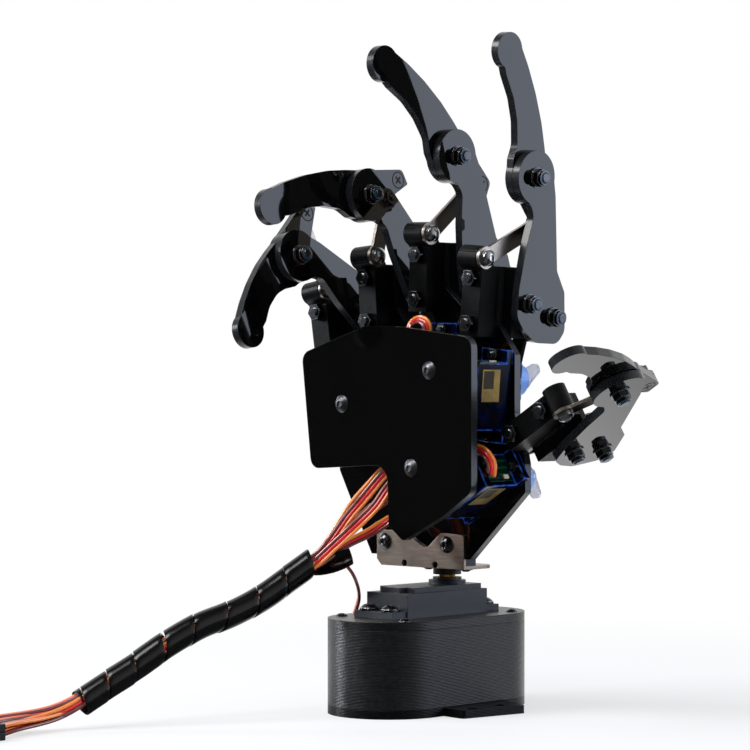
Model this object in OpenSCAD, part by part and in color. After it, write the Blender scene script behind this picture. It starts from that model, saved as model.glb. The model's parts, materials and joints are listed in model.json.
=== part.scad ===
// Five-finger robot hand on a turning wrist: laser-cut acrylic plates, printed knuckles,
// one small servo per finger and a standard servo in the base.
// X runs towards the thumb, -Y out of the palm, +Z up. The origin is on the wrist axis,
// in the plane that the base stands on.

/* [Base] */
// Overall length of the rounded base
base_l = 81.7; // [78:0.1:95]
// Overall width of the rounded base
base_w = 42.4; // [40:0.1:54]
// Thickness of the bottom plate
base_plate_t = 3; // [2:0.1:5]
// Height of the hollow housing between bottom plate and lid
housing_h = 27; // [24:0.5:40]
// Wall of the housing
housing_wall = 2.4; // [1.6:0.1:4]
// Thickness of the lid
lid_t = 3; // [2:0.1:4]
// How far the foot tab reaches out of the bottom plate
foot_reach = 14.5; // [8:0.5:22]
// Thickness of the foot tab
foot_t = 2.8; // [1.5:0.1:3]

/* [Wrist servo] */
// Length of the servo case
wrist_case_l = 40.7; // [40:0.1:42]
// Width of the servo case
wrist_case_w = 19.7; // [19:0.1:20.5]
// How far each mounting ear reaches out of the case
wrist_ear_out = 6.9; // [6.5:0.1:8]
// Thickness of the mounting ears
wrist_ear_t = 2.5; // [2:0.1:3]
// Height of the case above the ears
wrist_top_h = 6; // [5:0.1:8]
// Height of the raised gearbox step
wrist_step_h = 1.8; // [1:0.1:2.5]
// Distance from the case centre to the output shaft
wrist_shaft_off = 10.2; // [9.5:0.1:11]
// Radius of the toothed brass shaft
wrist_spline_r = 2.85; // [2.5:0.05:3]

/* [Wrist bracket] */
// Thickness of the steel sheet
bracket_t = 1.2; // [1:0.1:1.6]
// Width of the bracket
bracket_w = 42; // [38:0.5:46]
// Height of the upright face
bracket_h = 12.5; // [11:0.1:16]
// Thickness of the strip that the palm plate stands on
strip_t = 2.5; // [2:0.1:4]

/* [Palm] */
// Thickness of the acrylic plates
plate_t = 3; // [2.5:0.1:3.2]
// Front face of the palm plate, measured forward from the wrist axis
plate_front = 13; // [12.5:0.1:13.5]
// Length of the standoffs that carry the cover
standoff_l = 19; // [18.5:0.5:24]
// Width across the flats of the standoffs
standoff_af = 5; // [4.5:0.1:5.5]

/* [Finger servos] */
// Length of a small servo case
servo_l = 22.8; // [22:0.1:23.2]
// Width of a small servo case
servo_w = 12.2; // [11.8:0.1:12.4]
// Length over the mounting ears of a small servo
servo_ear_l = 32.2; // [31.5:0.1:33]
// Thickness of the mounting ears
servo_ear_t = 2.5; // [2:0.1:2.8]
// Depth of the case in front of the ears' rear face
servo_front_h = 17.3; // [16.5:0.1:18]
// Depth of the case behind the ears' rear face
servo_back_h = 5.2; // [4.8:0.1:5.6]
// Height of the round gear boss behind the case
servo_boss_h = 4.2; // [3.8:0.1:4.6]
// Spacing of the two mounting screws
servo_screw_gap = 28; // [27.5:0.1:28.5]

/* [Finger linkage] */
// Distance from the knuckle bolt to the middle joint
link_ac = 43.3; // [40:0.1:50]
// Distance from the middle joint to the pin in the ear of the fingertip
link_cd = 18.7; // [17:0.1:20]
// Distance between the two holes of the steel link
link_bd = 28.5; // [28:0.1:30]
// Knuckle bolt behind the wrist axis plane (negative is in front)
pivot_a_y = -5.2; // [-5.6:0.1:-4.8]
// Knuckle bolt above the servo shaft
pivot_a_u = 26.5; // [26:0.1:27]
// Steel link's fixed screw, in front of the wrist axis plane
pivot_b_y = -21.5; // [-22:0.1:-21]
// Steel link's fixed screw above the servo shaft
pivot_b_u = 41.5; // [41:0.1:42]
// Push-rod bolt, measured back down the lower finger plate
pivot_e_along = -4.5; // [-5:0.1:-4]
// Push-rod bolt, measured across the lower finger plate
pivot_e_across = -13; // [-13.5:0.1:-12.5]
// Reach of the fingertip from its joint to the middle of the round end
tip_reach = 44.5; // [40:0.5:52]
// The same reach on the little finger
tip_reach_little = 36; // [34:0.5:46]
// The same reach on the thumb
tip_reach_thumb = 38; // [34:0.5:46]
// Radius of the discs at the middle joint
disc_r = 9.3; // [8.5:0.1:10]
// Radius of the round fingertip
tip_r = 6.2; // [5:0.1:7]
// Radius from the servo shaft to the push rod's pin in the horn
horn_r = 11; // [10.5:0.1:11.5]
// Distance between the push rod's two eyes
rod_l = 29.5; // [29:0.1:31]
// Thickness of the steel link
link_t = 1.2; // [0.8:0.1:1.2]
// Width of the steel link
link_w = 5.8; // [5:0.1:7]

/* [Fasteners] */
// Radius of an M3 screw
m3_r = 1.5; // [1.45:0.01:1.55]
// Running clearance of a hinge bolt in its hole
running_fit = 0.08; // [0.04:0.01:0.1]
// Radius of an M3 button head
m3_head_r = 2.75; // [2.5:0.05:2.9]
// Height of an M3 button head
m3_head_h = 1.65; // [1.4:0.05:1.9]
// Radius of a small servo's M2 screw
m2_r = 1; // [0.9:0.05:1.05]

/* [Cable] */
// Outer radius of the spiral wrap round the leads
wrap_r = 4.3; // [4.2:0.1:4.6]
// Radius of the bundle of five leads
bundle_r = 3.5; // [3:0.1:3.6]
// Radius of the wrist servo's lead
lead_r = 1.3; // [1:0.1:1.6]

/* [Hidden] */
gap = 0.1;
$fn = 48;

// One finger each: name, shaft X, shaft Z, lean towards the thumb, angle of the lower plate
// in the (Y, up) plane as it stands, reach of the fingertip.
FINGERS = [
    ["index", 35.8, 115.5, 5.1, 90.5, tip_reach],
    ["middle", 12.5, 124.6, 1.8, 104.2, tip_reach],
    ["ring", -9.3, 117.9, -4.1, 124.7, tip_reach],
    ["little", -30.7, 107.1, -9, 143.6, tip_reach_little],
    ["thumb", 38.1, 81.9, 59.2, 113.7, tip_reach_thumb],
];
function names(prefix) = [for (f = FINGERS) str(prefix, "_", f[0])];

// Colours
ACRYLIC = "#0b0b0c";
PRINTED = "#17181a";
STEEL = "#b9b6ae";
BLACK_STEEL = "#232427";
BLUE = "#1c3fb4";
NYLON = "#e8ecef";
BRASS = "#c49a4a";

// Heights in the wrist
base_r = base_w / 2;
base_straight = base_l - base_w;
base_y = -wrist_shaft_off;
housing_z = base_plate_t;
lid_z = housing_z + housing_h;
lid_top = lid_z + lid_t;
wrist_case_top = lid_top + wrist_ear_t + wrist_top_h;
wrist_step_top = wrist_case_top + wrist_step_h;
boss_low_h = 1.3;
boss_top_h = 1;
boss_top = wrist_step_top + boss_low_h + boss_top_h;
shaft_bare = 1;
hub_z = boss_top + shaft_bare;
hub_h = 3;
hub_r = 5;
flange_z = hub_z + hub_h;
flange_top = flange_z + bracket_t;
plate_z = flange_top + strip_t;

// Depths in the palm
plate_back = plate_front - plate_t;
cover_back = plate_front + standoff_l;
cover_front = cover_back + plate_t;
servo_clear = 0.15;
servo_case_off = -(servo_l / 2 - 6);
boss_y = -plate_front + servo_back_h;
shaft_y = boss_y + servo_boss_h;
shaft_end = shaft_y + 3.2;
servo_shaft_r = 2.3;

// Widths across one finger, measured from the servo shaft towards the thumb side
knuckle_n = -11;
prong_n = -2.8;
link_n = -2.5;
front_n = link_n - gap;
distal_n = link_n + link_t + gap;
proximal_n = distal_n + plate_t + 0.2;
proximal_out = proximal_n + plate_t;
rear_n = distal_n + plate_t;
knuckle_u = 14.4;
knuckle_top = 38.7;
front_block_d = 9;
rear_block_d = 9;
knuckle_screw_n = -6.8;
knuckle_screw_u = [18.8, 34.2];
boss_r = 4.05;
hole_r = m3_r + running_fit;

// Linkage: angles in the (Y, up) plane, counted from +Y
function dir(t) = [cos(t), sin(t)];
A = [pivot_a_y, pivot_a_u];
B = [pivot_b_y, pivot_b_u];
EAR_TURN = 190.7;
function meet(p, rp, q, rq, side) =
    let (d = q - p, l = norm(d), k = (rp * rp - rq * rq + l * l) / (2 * l), u = d / l)
    p + u * k + side * sqrt(max(rp * rp - k * k, 0)) * [-u[1], u[0]];
function c_point(a) = A + link_ac * dir(a);
function d_point(a) = meet(B, link_bd, c_point(a), link_cd, -1);
function angle_of(v) = atan2(v[1], v[0]);
function tip_angle(a) = angle_of(d_point(a) - c_point(a)) - EAR_TURN;
function link_angle(a) = angle_of(d_point(a) - B);
function e_point(a) =
    A + pivot_e_along * dir(a) + pivot_e_across * dir(a + 90);
// Push rod and horn, in the (across, up) plane of the finger
eye_n = -2.6;
eye_y = 7;
eye_t = 3;
eye_r = 5;
eye_hole_r = 3.4;
function horn_pin(a) = meet([0, 0], horn_r, [eye_n, e_point(a)[1]], rod_l, 1);
horn_y = shaft_y + 2.6;
horn_t = 1.5;
rod_y = horn_y + horn_t + 0.4;
rod_t = 2;

// A closed outline from [x, y, corner radius] points, each corner rounded by an arc
function fillet(path, steps = 8) = [
    for (i = [0 : len(path) - 1])
        let (n = len(path), p = path[i], a = path[(i + n - 1) % n], b = path[(i + 1) % n],
             c = [p[0], p[1]], va = [a[0], a[1]] - c, vb = [b[0], b[1]] - c,
             ua = va / norm(va), ub = vb / norm(vb),
             half = acos(max(-1, min(1, ua * ub))) / 2,
             cut = p[2] / tan(half), m = (ua + ub) / norm(ua + ub),
             o = c + m * p[2] / sin(half),
             s = angle_of(c + ua * cut - o), t0 = angle_of(c + ub * cut - o) - s,
             t = t0 > 180 ? t0 - 360 : t0 < -180 ? t0 + 360 : t0)
        each (p[2] <= 0 ? [c] : [for (k = [0 : steps]) o + p[2] * dir(s + t * k / steps)])];

// Places a finger's own frame: X across, Y front to back, Z up along the finger
module finger(f) translate([f[1], 0, f[2]]) rotate([0, f[3], 0]) children();
// Extrudes a (Y, up) outline across the finger, or an (X, Z) outline through the palm
module across(n0, t) translate([n0, 0, 0]) rotate([90, 0, 90]) linear_extrude(t) children();
module through(front, t) translate([0, -front + t, 0]) rotate([90, 0, 0]) linear_extrude(t) children();
module pin_across(n0, n1, at, r) across(n0, n1 - n0) translate(at) circle(r);
module pin_through(y0, y1, x, z, r) translate([x, y1, z]) rotate([90, 0, 0]) cylinder(r = r, h = y1 - y0);

// Screw heads and nuts, each standing on z = 0 with its axis along Z
socket_r = 1.15;
module button_head(r = m3_head_r, h = m3_head_h) {
    difference() {
        intersection() {
            cylinder(r = r, h = h);
            translate([0, 0, -r * 0.75]) sphere(r = r * 1.28, $fn = 40);
        }
        translate([0, 0, h - 0.9]) cylinder(r = socket_r, h = 1, $fn = 6);
    }
}
module hex_nut(r = 3.1, h = 2.4, bore = m3_r) difference() {
    cylinder(r = r, h = h, $fn = 6);
    translate([0, 0, -1]) cylinder(r = bore, h = h + 2);
}
washer_t = 0.5;
module lock_nut(bore = m3_r) {
    difference() {
        union() {
            cylinder(r = 3.1, h = 2.6, $fn = 6);
            cylinder(r = 2.55, h = 3.9);
            cylinder(r = 3.5, h = washer_t);
        }
        translate([0, 0, -1]) cylinder(r = bore, h = 6);
    }
}

// ---- Base ----
module stadium(r, straight) translate([0, base_y]) {
    square([2 * r, straight], center = true);
    for (s = [-1, 1]) translate([0, s * straight / 2]) circle(r, $fn = 96);
}
servo_pocket_clear = 0.3;
ear_screw_x = 5;
ear_screw_y = wrist_case_l / 2 + 0.56 * wrist_ear_out;
lid_screw_r = 1.25;
lid_screw_at = [[-15.2, base_y - 27.5], [15.2, base_y - 27.5], [-15.2, base_y + 27.5], [15.2, base_y + 27.5]];
lead_exit = [-14, -29];
foot_screw_r = 2.1;
foot_screws = [[base_r + foot_reach - 6.5, base_y - 9], [base_r + foot_reach - 6.5, base_y + 5]];
module base_plate() color(PRINTED) difference() {
    union() {
        linear_extrude(base_plate_t) stadium(base_r, base_straight);
        linear_extrude(foot_t) polygon(fillet([
            [base_r - 3, base_y - 14, 0], [base_r + foot_reach - 4.5, base_y - 15.5, 1.5],
            [base_r + foot_reach, base_y + 11.5, 1.5], [base_r - 3, base_y + 18, 0]]));
    }
    for (p = lid_screw_at) translate([p[0], p[1], -1]) cylinder(r = lid_screw_r, h = base_plate_t + 2);
    for (p = foot_screws) translate([p[0], p[1], -1]) cylinder(r = foot_screw_r, h = foot_t + 2);
}
module base_housing() color(PRINTED) translate([0, 0, housing_z]) {
    difference() {
        linear_extrude(housing_h) stadium(base_r, base_straight);
        translate([0, 0, -1]) linear_extrude(housing_h + 2) difference() {
            stadium(base_r - housing_wall, base_straight);
            for (p = lid_screw_at) translate(p) circle(3.6);
        }
        for (p = lid_screw_at) translate([p[0], p[1], -1]) cylinder(r = lid_screw_r, h = housing_h + 2);
    }
}
module base_lid() color(PRINTED) translate([0, 0, lid_z]) difference() {
    linear_extrude(lid_t) stadium(base_r, base_straight);
    translate([0, base_y, lid_t / 2]) cube([wrist_case_w + 2 * servo_pocket_clear,
        wrist_case_l + 2 * servo_pocket_clear, lid_t + 2], center = true);
    for (p = lid_screw_at) translate([p[0], p[1], -1]) cylinder(r = lid_screw_r + 0.2, h = lid_t + 2);
    for (sx = [-1, 1], sy = [-1, 1]) translate([sx * ear_screw_x, base_y + sy * ear_screw_y, -1])
        cylinder(r = 1.6, h = lid_t + 2);
    translate([lead_exit[0], lead_exit[1], -1]) cylinder(r = lead_r + 0.4, h = lid_t + 2);
}
wrist_case_depth = 27;
wrist_boss_r = 6.6;
module wrist_servo() color(BLACK_STEEL) difference() {
    union() {
        translate([-wrist_case_w / 2, base_y - wrist_case_l / 2, lid_top - wrist_case_depth])
            cube([wrist_case_w, wrist_case_l, wrist_case_depth + wrist_ear_t + wrist_top_h]);
        translate([-wrist_case_w / 2 + 0.6, base_y - wrist_case_l / 2 - wrist_ear_out, lid_top])
            cube([wrist_case_w - 1.2, wrist_case_l + 2 * wrist_ear_out, wrist_ear_t]);
        translate([0, base_y, wrist_case_top]) linear_extrude(wrist_step_h) difference() {
            square([wrist_case_w - 3, wrist_case_l - 3], center = true);
            for (s = [-1, 1]) translate([s * (wrist_case_w / 2 - 3.4), -wrist_case_l / 2 + 1.5])
                square([4, 7], center = true);
        }
        translate([0, 0, wrist_step_top]) cylinder(r = wrist_boss_r, h = boss_low_h);
        translate([0, 0, wrist_step_top + boss_low_h]) cylinder(r = wrist_boss_r - 1.5, h = boss_top_h);
    }
    for (sx = [-1, 1], sy = [-1, 1]) translate([sx * ear_screw_x, base_y + sy * ear_screw_y, lid_top - 1])
        cylinder(r = 2.1, h = wrist_ear_t + 2);
    translate([0, 0, boss_top - 3]) cylinder(r = wrist_spline_r + running_fit, h = 4);
}
// Rubber-bushed ear screws and the four lid screws
ear_screw_l = 9;
bush_rim_t = 0.8;
lid_screw_l = 10;
module base_screws() color(BLACK_STEEL) {
    for (sx = [-1, 1], sy = [-1, 1]) translate([sx * ear_screw_x, base_y + sy * ear_screw_y, lid_top]) {
        difference() {
            union() {
                cylinder(r = 2.1, h = wrist_ear_t);
                translate([0, 0, wrist_ear_t]) cylinder(r = 3.4, h = bush_rim_t);
            }
            translate([0, 0, -1]) cylinder(r = 1.5, h = 6);
        }
        translate([0, 0, wrist_ear_t + bush_rim_t]) button_head(3.1, 2.2);
        translate([0, 0, -ear_screw_l]) cylinder(r = 1.5, h = ear_screw_l + wrist_ear_t + bush_rim_t);
    }
    for (p = lid_screw_at) translate([p[0], p[1], lid_top]) {
        button_head(2.2, 1.5);
        translate([0, 0, -lid_screw_l]) cylinder(r = lid_screw_r, h = lid_screw_l);
    }
}
module wrist_spline() color(BRASS) {
    difference() {
        translate([0, 0, boss_top - 2.8]) linear_extrude(hub_z + hub_h - boss_top + 1.6)
            polygon([for (k = [0 : 49]) (wrist_spline_r - (k % 2) * 0.3) * dir(k * 7.2)]);
        translate([0, 0, boss_top - 1]) cylinder(r = 1.25, h = 8);
    }
}
wrist_horn_arm = 9;
module wrist_horn() color(BLACK_STEEL) {
    difference() {
        union() {
            translate([0, 0, hub_z]) cylinder(r = hub_r, h = hub_h);
            translate([0, 0, flange_z - 1.2]) linear_extrude(1.2) {
                for (s = [-1, 1]) translate([s * wrist_horn_arm, 0]) circle(2.4);
                square([2 * wrist_horn_arm, 4.8], center = true);
            }
        }
        translate([0, 0, hub_z - 1]) cylinder(r = wrist_spline_r, h = hub_h - 0.2);
        translate([0, 0, hub_z]) cylinder(r = 1.25, h = hub_h + 1);
    }
    translate([0, 0, flange_top]) button_head(2.6, 1.6);
    translate([0, 0, boss_top + 0.2]) cylinder(r = 1.25, h = flange_top - boss_top - 0.2);
    for (s = [-1, 1]) {
        translate([s * wrist_horn_arm, 0, flange_z - 1.2]) rotate([180, 0, 0]) button_head(1.7, 1);
        translate([s * wrist_horn_arm, 0, flange_z]) cylinder(r = 0.8, h = bracket_t);
    }
}

// ---- Wrist bracket ----
bracket_rear = 2.4;
bracket_screw_at = [[-17.1, 8.5], [12.8, 8.5]];
relief_x = 7.4;
relief_r = 1.2;
module wrist_bracket() color(STEEL) difference() {
    union() {
        through(plate_front + bracket_t, bracket_t) translate([0, flange_z]) polygon(fillet([
            [-bracket_w / 2, 2.2, 0.6], [-bracket_w / 2 + 2.2, 0, 0], [bracket_w / 2, 0, 0],
            [bracket_w / 2, bracket_h - 1, 1], [bracket_w / 2 - 1, bracket_h - 0.6, 0.4],
            [10, bracket_h, 4], [3, bracket_h - 6, 3], [-6, bracket_h - 1.4, 3],
            [-11, bracket_h, 1.5], [-bracket_w / 2, bracket_h, 1.5]]));
        translate([0, 0, flange_z]) linear_extrude(bracket_t) {
            polygon(fillet([[-bracket_w / 2 + 2.2, -plate_front, 0], [bracket_w / 2, -plate_front, 0],
                [bracket_w / 2, bracket_rear, 5], [-bracket_w / 2 + 2.2, bracket_rear, 5]]));
            circle(8);
        }
    }
    for (p = bracket_screw_at)
        pin_through(-plate_front - 3, -plate_front + 1, p[0], flange_z + p[1], m3_r + 0.05);
    for (s = [-1, 1]) pin_through(-plate_front - bracket_t - 1, -plate_front + 1, s * relief_x,
        flange_z + bracket_t, relief_r);
    translate([0, 0, flange_z - 1]) cylinder(r = 1.3, h = 4);
    for (s = [-1, 1]) translate([s * wrist_horn_arm, 0, flange_z - 1]) cylinder(r = 0.8, h = 4);
}
module bracket_screws() color(BLACK_STEEL) for (p = bracket_screw_at)
    translate([p[0], -plate_front - bracket_t, flange_z + p[1]]) rotate([90, 0, 0]) {
        button_head(3, 1.8);
        translate([0, 0, -9]) cylinder(r = m3_r, h = 9);
        translate([0, 0, -bracket_t - plate_t - 2.4]) hex_nut();
    }

// ---- Palm ----
strip_from = -20.5;
strip_to = 21;
strip_w = 5;
palm_edge_r = 43.4;
palm_edge_thumb = 48.2;
module palm_outline() {
    polygon([[-24.8, plate_z], [22.9, plate_z], [palm_edge_thumb, 77.2], [palm_edge_thumb, 86.9],
        [46, 97], [palm_edge_r, 104], [palm_edge_r, 124], [36.8, 133.2], [33, 136], [25, 136],
        [10, 148.5], [4, 149], [-2, 136], [-9.5, 136.5], [-12.5, 141], [-17, 141], [-24, 125],
        [-32.5, 125.5], [-35, 130], [-43, 122], [-42.4, 100], [-40.9, 82.7]]);
    for (f = FINGERS) translate([f[1], f[2]]) rotate(-f[3])
        translate([knuckle_n, knuckle_u - 4]) square([prong_n - knuckle_n, knuckle_top - knuckle_u + 4]);
}
module palm_plate() color(ACRYLIC) {
    through(plate_front, plate_t) difference() {
        palm_outline();
        for (f = FINGERS) translate([f[1], f[2]]) rotate(-f[3]) {
            translate([-servo_w / 2 - servo_clear, servo_case_off - servo_l / 2 - servo_clear])
                square([servo_w + 2 * servo_clear, servo_l + 2 * servo_clear]);
            for (s = [-1, 1]) translate([0, servo_case_off + s * servo_screw_gap / 2]) circle(m2_r);
            for (u = knuckle_screw_u) translate([knuckle_screw_n, u]) circle(m3_r);
        }
        for (p = standoff_at) translate(p) circle(m3_r);
        for (p = bracket_screw_at) translate([p[0], flange_z + p[1]]) circle(m3_r);
    }
    translate([strip_from, -plate_front, flange_top]) cube([strip_to - strip_from, strip_w, strip_t]);
}
standoff_at = [[-17.8, 107], [24.1, 118.7], [15.7, 85.3]];
module palm_cover() color(ACRYLIC) difference() {
    through(cover_front, plate_t) difference() {
        polygon(fillet([[-38, 124.8, 4], [-6.5, 134.2, 9], [8, 134, 9], [43.5, 129.8, 4.5],
            [43.5, 77.8, 4], [31, 69.6, 2], [11.8, 60.2, 1.6], [4.9, 65.2, 1.5],
            [4.3, 86.2, 6], [-33.2, 84, 4]]));
        for (p = standoff_at) translate(p) circle(m3_r);
    }
}
module cover_standoffs() color(BLACK_STEEL) for (p = standoff_at)
    translate([p[0], -plate_front, p[1]]) rotate([90, 0, 0]) difference() {
        cylinder(r = standoff_af / 2 / cos(30), h = standoff_l, $fn = 6);
        translate([0, 0, -1]) cylinder(r = m3_r, h = standoff_l + 2);
    }
module cover_screw() {
    button_head(3.1, 2);
    translate([0, 0, -plate_t - cover_screw_grip]) cylinder(r = m3_r, h = plate_t + cover_screw_grip);
}
cover_screw_grip = 6;
module cover_screws() color(STEEL) for (p = standoff_at) {
    translate([p[0], -cover_front, p[1]]) rotate([90, 0, 0]) cover_screw();
    translate([p[0], -plate_back, p[1]]) rotate([-90, 0, 0]) cover_screw();
}

// ---- Finger servo: case, ears and gear boss, shaft along Y ----
boss_r_servo = 5.9;
module servo(f) color(BLUE) finger(f) difference() {
    union() {
        translate([-servo_w / 2, -plate_front - servo_front_h, servo_case_off - servo_l / 2])
            cube([servo_w, servo_front_h + servo_back_h, servo_l]);
        translate([-servo_w / 2, -plate_front - servo_ear_t, servo_case_off - servo_ear_l / 2])
            cube([servo_w, servo_ear_t, servo_ear_l]);
        pin_through(boss_y, shaft_y, 0, 0, boss_r_servo);
        pin_through(boss_y, shaft_y, 0, -boss_r_servo, 2.8);
        pin_through(shaft_y, shaft_end, 0, 0, servo_shaft_r);
    }
    for (s = [-1, 1])
        pin_through(-plate_front - servo_ear_t - 1, -plate_front + 1, 0,
            servo_case_off + s * servo_screw_gap / 2, m2_r);
}
module servo_screws() color(BLACK_STEEL) for (f = FINGERS, s = [-1, 1]) finger(f)
    translate([0, 0, servo_case_off + s * servo_screw_gap / 2]) {
        translate([0, -plate_back, 0]) rotate([-90, 0, 0]) button_head(1.9, 1.3);
        translate([0, -plate_back, 0]) rotate([90, 0, 0]) cylinder(r = m2_r, h = plate_t + servo_ear_t + 2.6);
        translate([0, -plate_front - servo_ear_t, 0]) rotate([90, 0, 0]) hex_nut(2.2, 1.6, m2_r);
    }

// ---- Printed knuckle: front and rear halves that clamp the palm plate ----
head_pocket_r = 3.1;
head_pocket_h = 2.2;
rear_wall = 2.6;
rear_shoulder_u = 31;
module knuckle(f) color(PRINTED) finger(f) {
    front_y = -plate_front - front_block_d;
    rear_y = -plate_back + rear_block_d;
    difference() {
        union() {
            translate([knuckle_n, front_y, knuckle_u])
                cube([front_n - knuckle_n, front_block_d, knuckle_top - knuckle_u]);
            pin_across(knuckle_n, front_n, B, boss_r);
            across(knuckle_n, front_n - knuckle_n) polygon([[front_y, knuckle_top - 2],
                B + boss_r * dir(200), B + boss_r * dir(0), [-plate_front - 2, knuckle_top - 2]]);
        }
        for (u = knuckle_screw_u) pin_through(front_y - 1, -plate_front + 1, knuckle_screw_n, u, m3_r);
        pin_across(front_n - 8, front_n + 1, B, m3_r);
    }
    difference() {
        across(knuckle_n, rear_n - knuckle_n) polygon([[-plate_back, knuckle_u], [rear_y, knuckle_u],
            [rear_y, rear_shoulder_u - 2], [rear_y - 2, rear_shoulder_u],
            [-plate_back + rear_wall, rear_shoulder_u], [-plate_back + rear_wall, knuckle_top],
            [-plate_back, knuckle_top]]);
        for (u = knuckle_screw_u) pin_through(-plate_back - 1, rear_y + 1, knuckle_screw_n, u, m3_r);
        pin_through(rear_y - head_pocket_h, rear_y + 1, knuckle_screw_n, knuckle_screw_u[0], head_pocket_r);
        pin_across(knuckle_n - 1, rear_n + 1, A, hole_r);
    }
}
module knuckle_screws() color(BLACK_STEEL) for (f = FINGERS, u = knuckle_screw_u) finger(f) {
    head_y = -plate_back + (u < rear_shoulder_u ? rear_block_d - head_pocket_h : rear_wall);
    translate([knuckle_screw_n, head_y, u]) rotate([-90, 0, 0]) button_head();
    pin_through(-plate_front - front_block_d - 3, head_y, knuckle_screw_n, u, m3_r);
    translate([knuckle_screw_n, -plate_front - front_block_d, u]) rotate([90, 0, 0]) hex_nut();
}
// Silver screws that carry the steel links on the knuckle bosses
link_head_raise = 1.3;
module link_screws() color(STEEL) for (f = FINGERS) finger(f) {
    translate([distal_n - gap, B[0], B[1]]) rotate([0, 90, 0]) {
        cylinder(r = m3_head_r + 0.25, h = washer_t);
        cylinder(r = m3_head_r, h = link_head_raise);
        translate([0, 0, link_head_raise]) button_head();
    }
    pin_across(front_n - 7, distal_n - gap, B, m3_r);
}

// ---- Moving finger parts ----
// Lower plate, outline along (x) and across (y) the line from knuckle bolt to middle joint
module proximal_outline() union() {
    polygon(fillet([[link_ac, disc_r - join, 0], [link_ac - 6, 7.1, 2], [link_ac - 9.5, 2.2, 4],
        [link_ac - 13, 0.2, 5], [20, 3, 20], [5, 5.6, 12], [-4.5, 5.8, 5], [-9.5, 1.8, 6],
        [-13.4, -4.5, 6], [-13.8, -16, 5], [-9.3, -19.6, 4], [4.2, -18.2, 2], [11.5, -13.6, 3],
        [link_ac - 6, -10.4, 8], [link_ac, join - disc_r, 0]]));
    translate([link_ac, 0]) circle(disc_r, $fn = 72);
}
module proximal(f) color(ACRYLIC) finger(f) across(proximal_n, plate_t) translate(A) rotate(f[4])
    difference() {
        proximal_outline();
        circle(m3_r);
        translate([link_ac, 0]) circle(m3_r);
        translate([pivot_e_along, pivot_e_across]) circle(m3_r);
    }
// How far a straight edge runs into the round end it joins
join = 0.3;
// Fingertip plate, outline along (x) and across (y) the line from middle joint to tip
ear = link_cd * dir(EAR_TURN);
ear_top = 3.5;
ear_back = 4.6;
tip_drop = -1.5;
module distal_outline(reach) union() {
    circle(disc_r, $fn = 72);
    translate([reach, tip_drop]) circle(tip_r, $fn = 56);
    polygon(fillet([[3, disc_r - 1, 0], [8.5, 6.4, 2], [12.5, 3.2, 6], [reach * 0.46, 1.2, 10],
        [reach * 0.64, 0.9, 10], [reach - 7.5, 2.4, 1.2], [reach - 4.2, 2.4, 0],
        [reach, tip_drop - tip_r + join, 0], [reach * 0.82, -9.1, 25], [reach * 0.6, -10.3, 25],
        [reach * 0.36, -10.6, 25], [reach * 0.16, -9.9, 25], [join, join - disc_r, 0]]));
    polygon(fillet([[-join, join - disc_r, 0], [ear[0] - 2.8, ear[1] - ear_top, 2.2],
        [ear[0] - ear_back, ear[1] + 2, 0.6], [ear[0] + 4, ear[1] + 5.2, 3], [-8, 4.2, 0]]));
}
sunk_head_r = 2.9;
sunk_head_h = 1.4;
module sunk_head(at, spare) translate([rear_n, at[0], at[1]]) rotate([0, -90, 0])
    cylinder(r1 = sunk_head_r + spare, r2 = m3_r + spare, h = sunk_head_h);
module distal(f) finger(f) {
    D = d_point(f[4]);
    color(ACRYLIC) difference() {
        across(distal_n, plate_t) translate(c_point(f[4])) rotate(tip_angle(f[4])) difference() {
            distal_outline(f[5]);
            circle(hole_r);
        }
        pin_across(distal_n - 1, rear_n + 1, D, m3_r + gap);
        sunk_head(D, gap);
    }
    color(BLACK_STEEL) {
        pin_across(distal_n, rear_n - 1, D, m3_r);
        sunk_head(D, 0);
    }
}
module link(f) color(STEEL) finger(f) {
    D = d_point(f[4]);
    across(link_n, link_t) difference() {
        union() {
            translate(B) rotate(link_angle(f[4])) translate([0, -link_w / 2]) square([link_bd, link_w]);
            translate(B) circle(link_w / 2 + 1);
            translate(D) circle(link_w / 2 + 1);
        }
        translate(B) circle(hole_r);
        translate(D) circle(m3_r);
    }
    color(BLACK_STEEL) {
        pin_across(link_n - 3.2, link_n + link_t, D, m3_r);
        translate([link_n, D[0], D[1]]) rotate([0, -90, 0]) hex_nut();
    }
}
module bolts(f) color(BLACK_STEEL) finger(f) {
    head = 1.9;
    bolt_end = proximal_out + 4.4;
    C = c_point(f[4]);
    P = e_point(f[4]);
    for (q = [A, C, P]) translate([proximal_out, q[0], q[1]]) rotate([0, 90, 0]) lock_nut();
    pin_across(knuckle_n - gap, bolt_end, A, m3_r);
    translate([knuckle_n - gap, A[0], A[1]]) rotate([0, -90, 0]) button_head(h = head);
    pin_across(distal_n - gap, bolt_end, C, m3_r);
    translate([distal_n - gap, C[0], C[1]]) rotate([0, -90, 0]) button_head(h = head);
    pin_across(eye_n - 5, bolt_end, P, m3_r);
    translate([eye_n - 5, P[0], P[1]]) rotate([0, -90, 0]) button_head(h = head);
}
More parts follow.
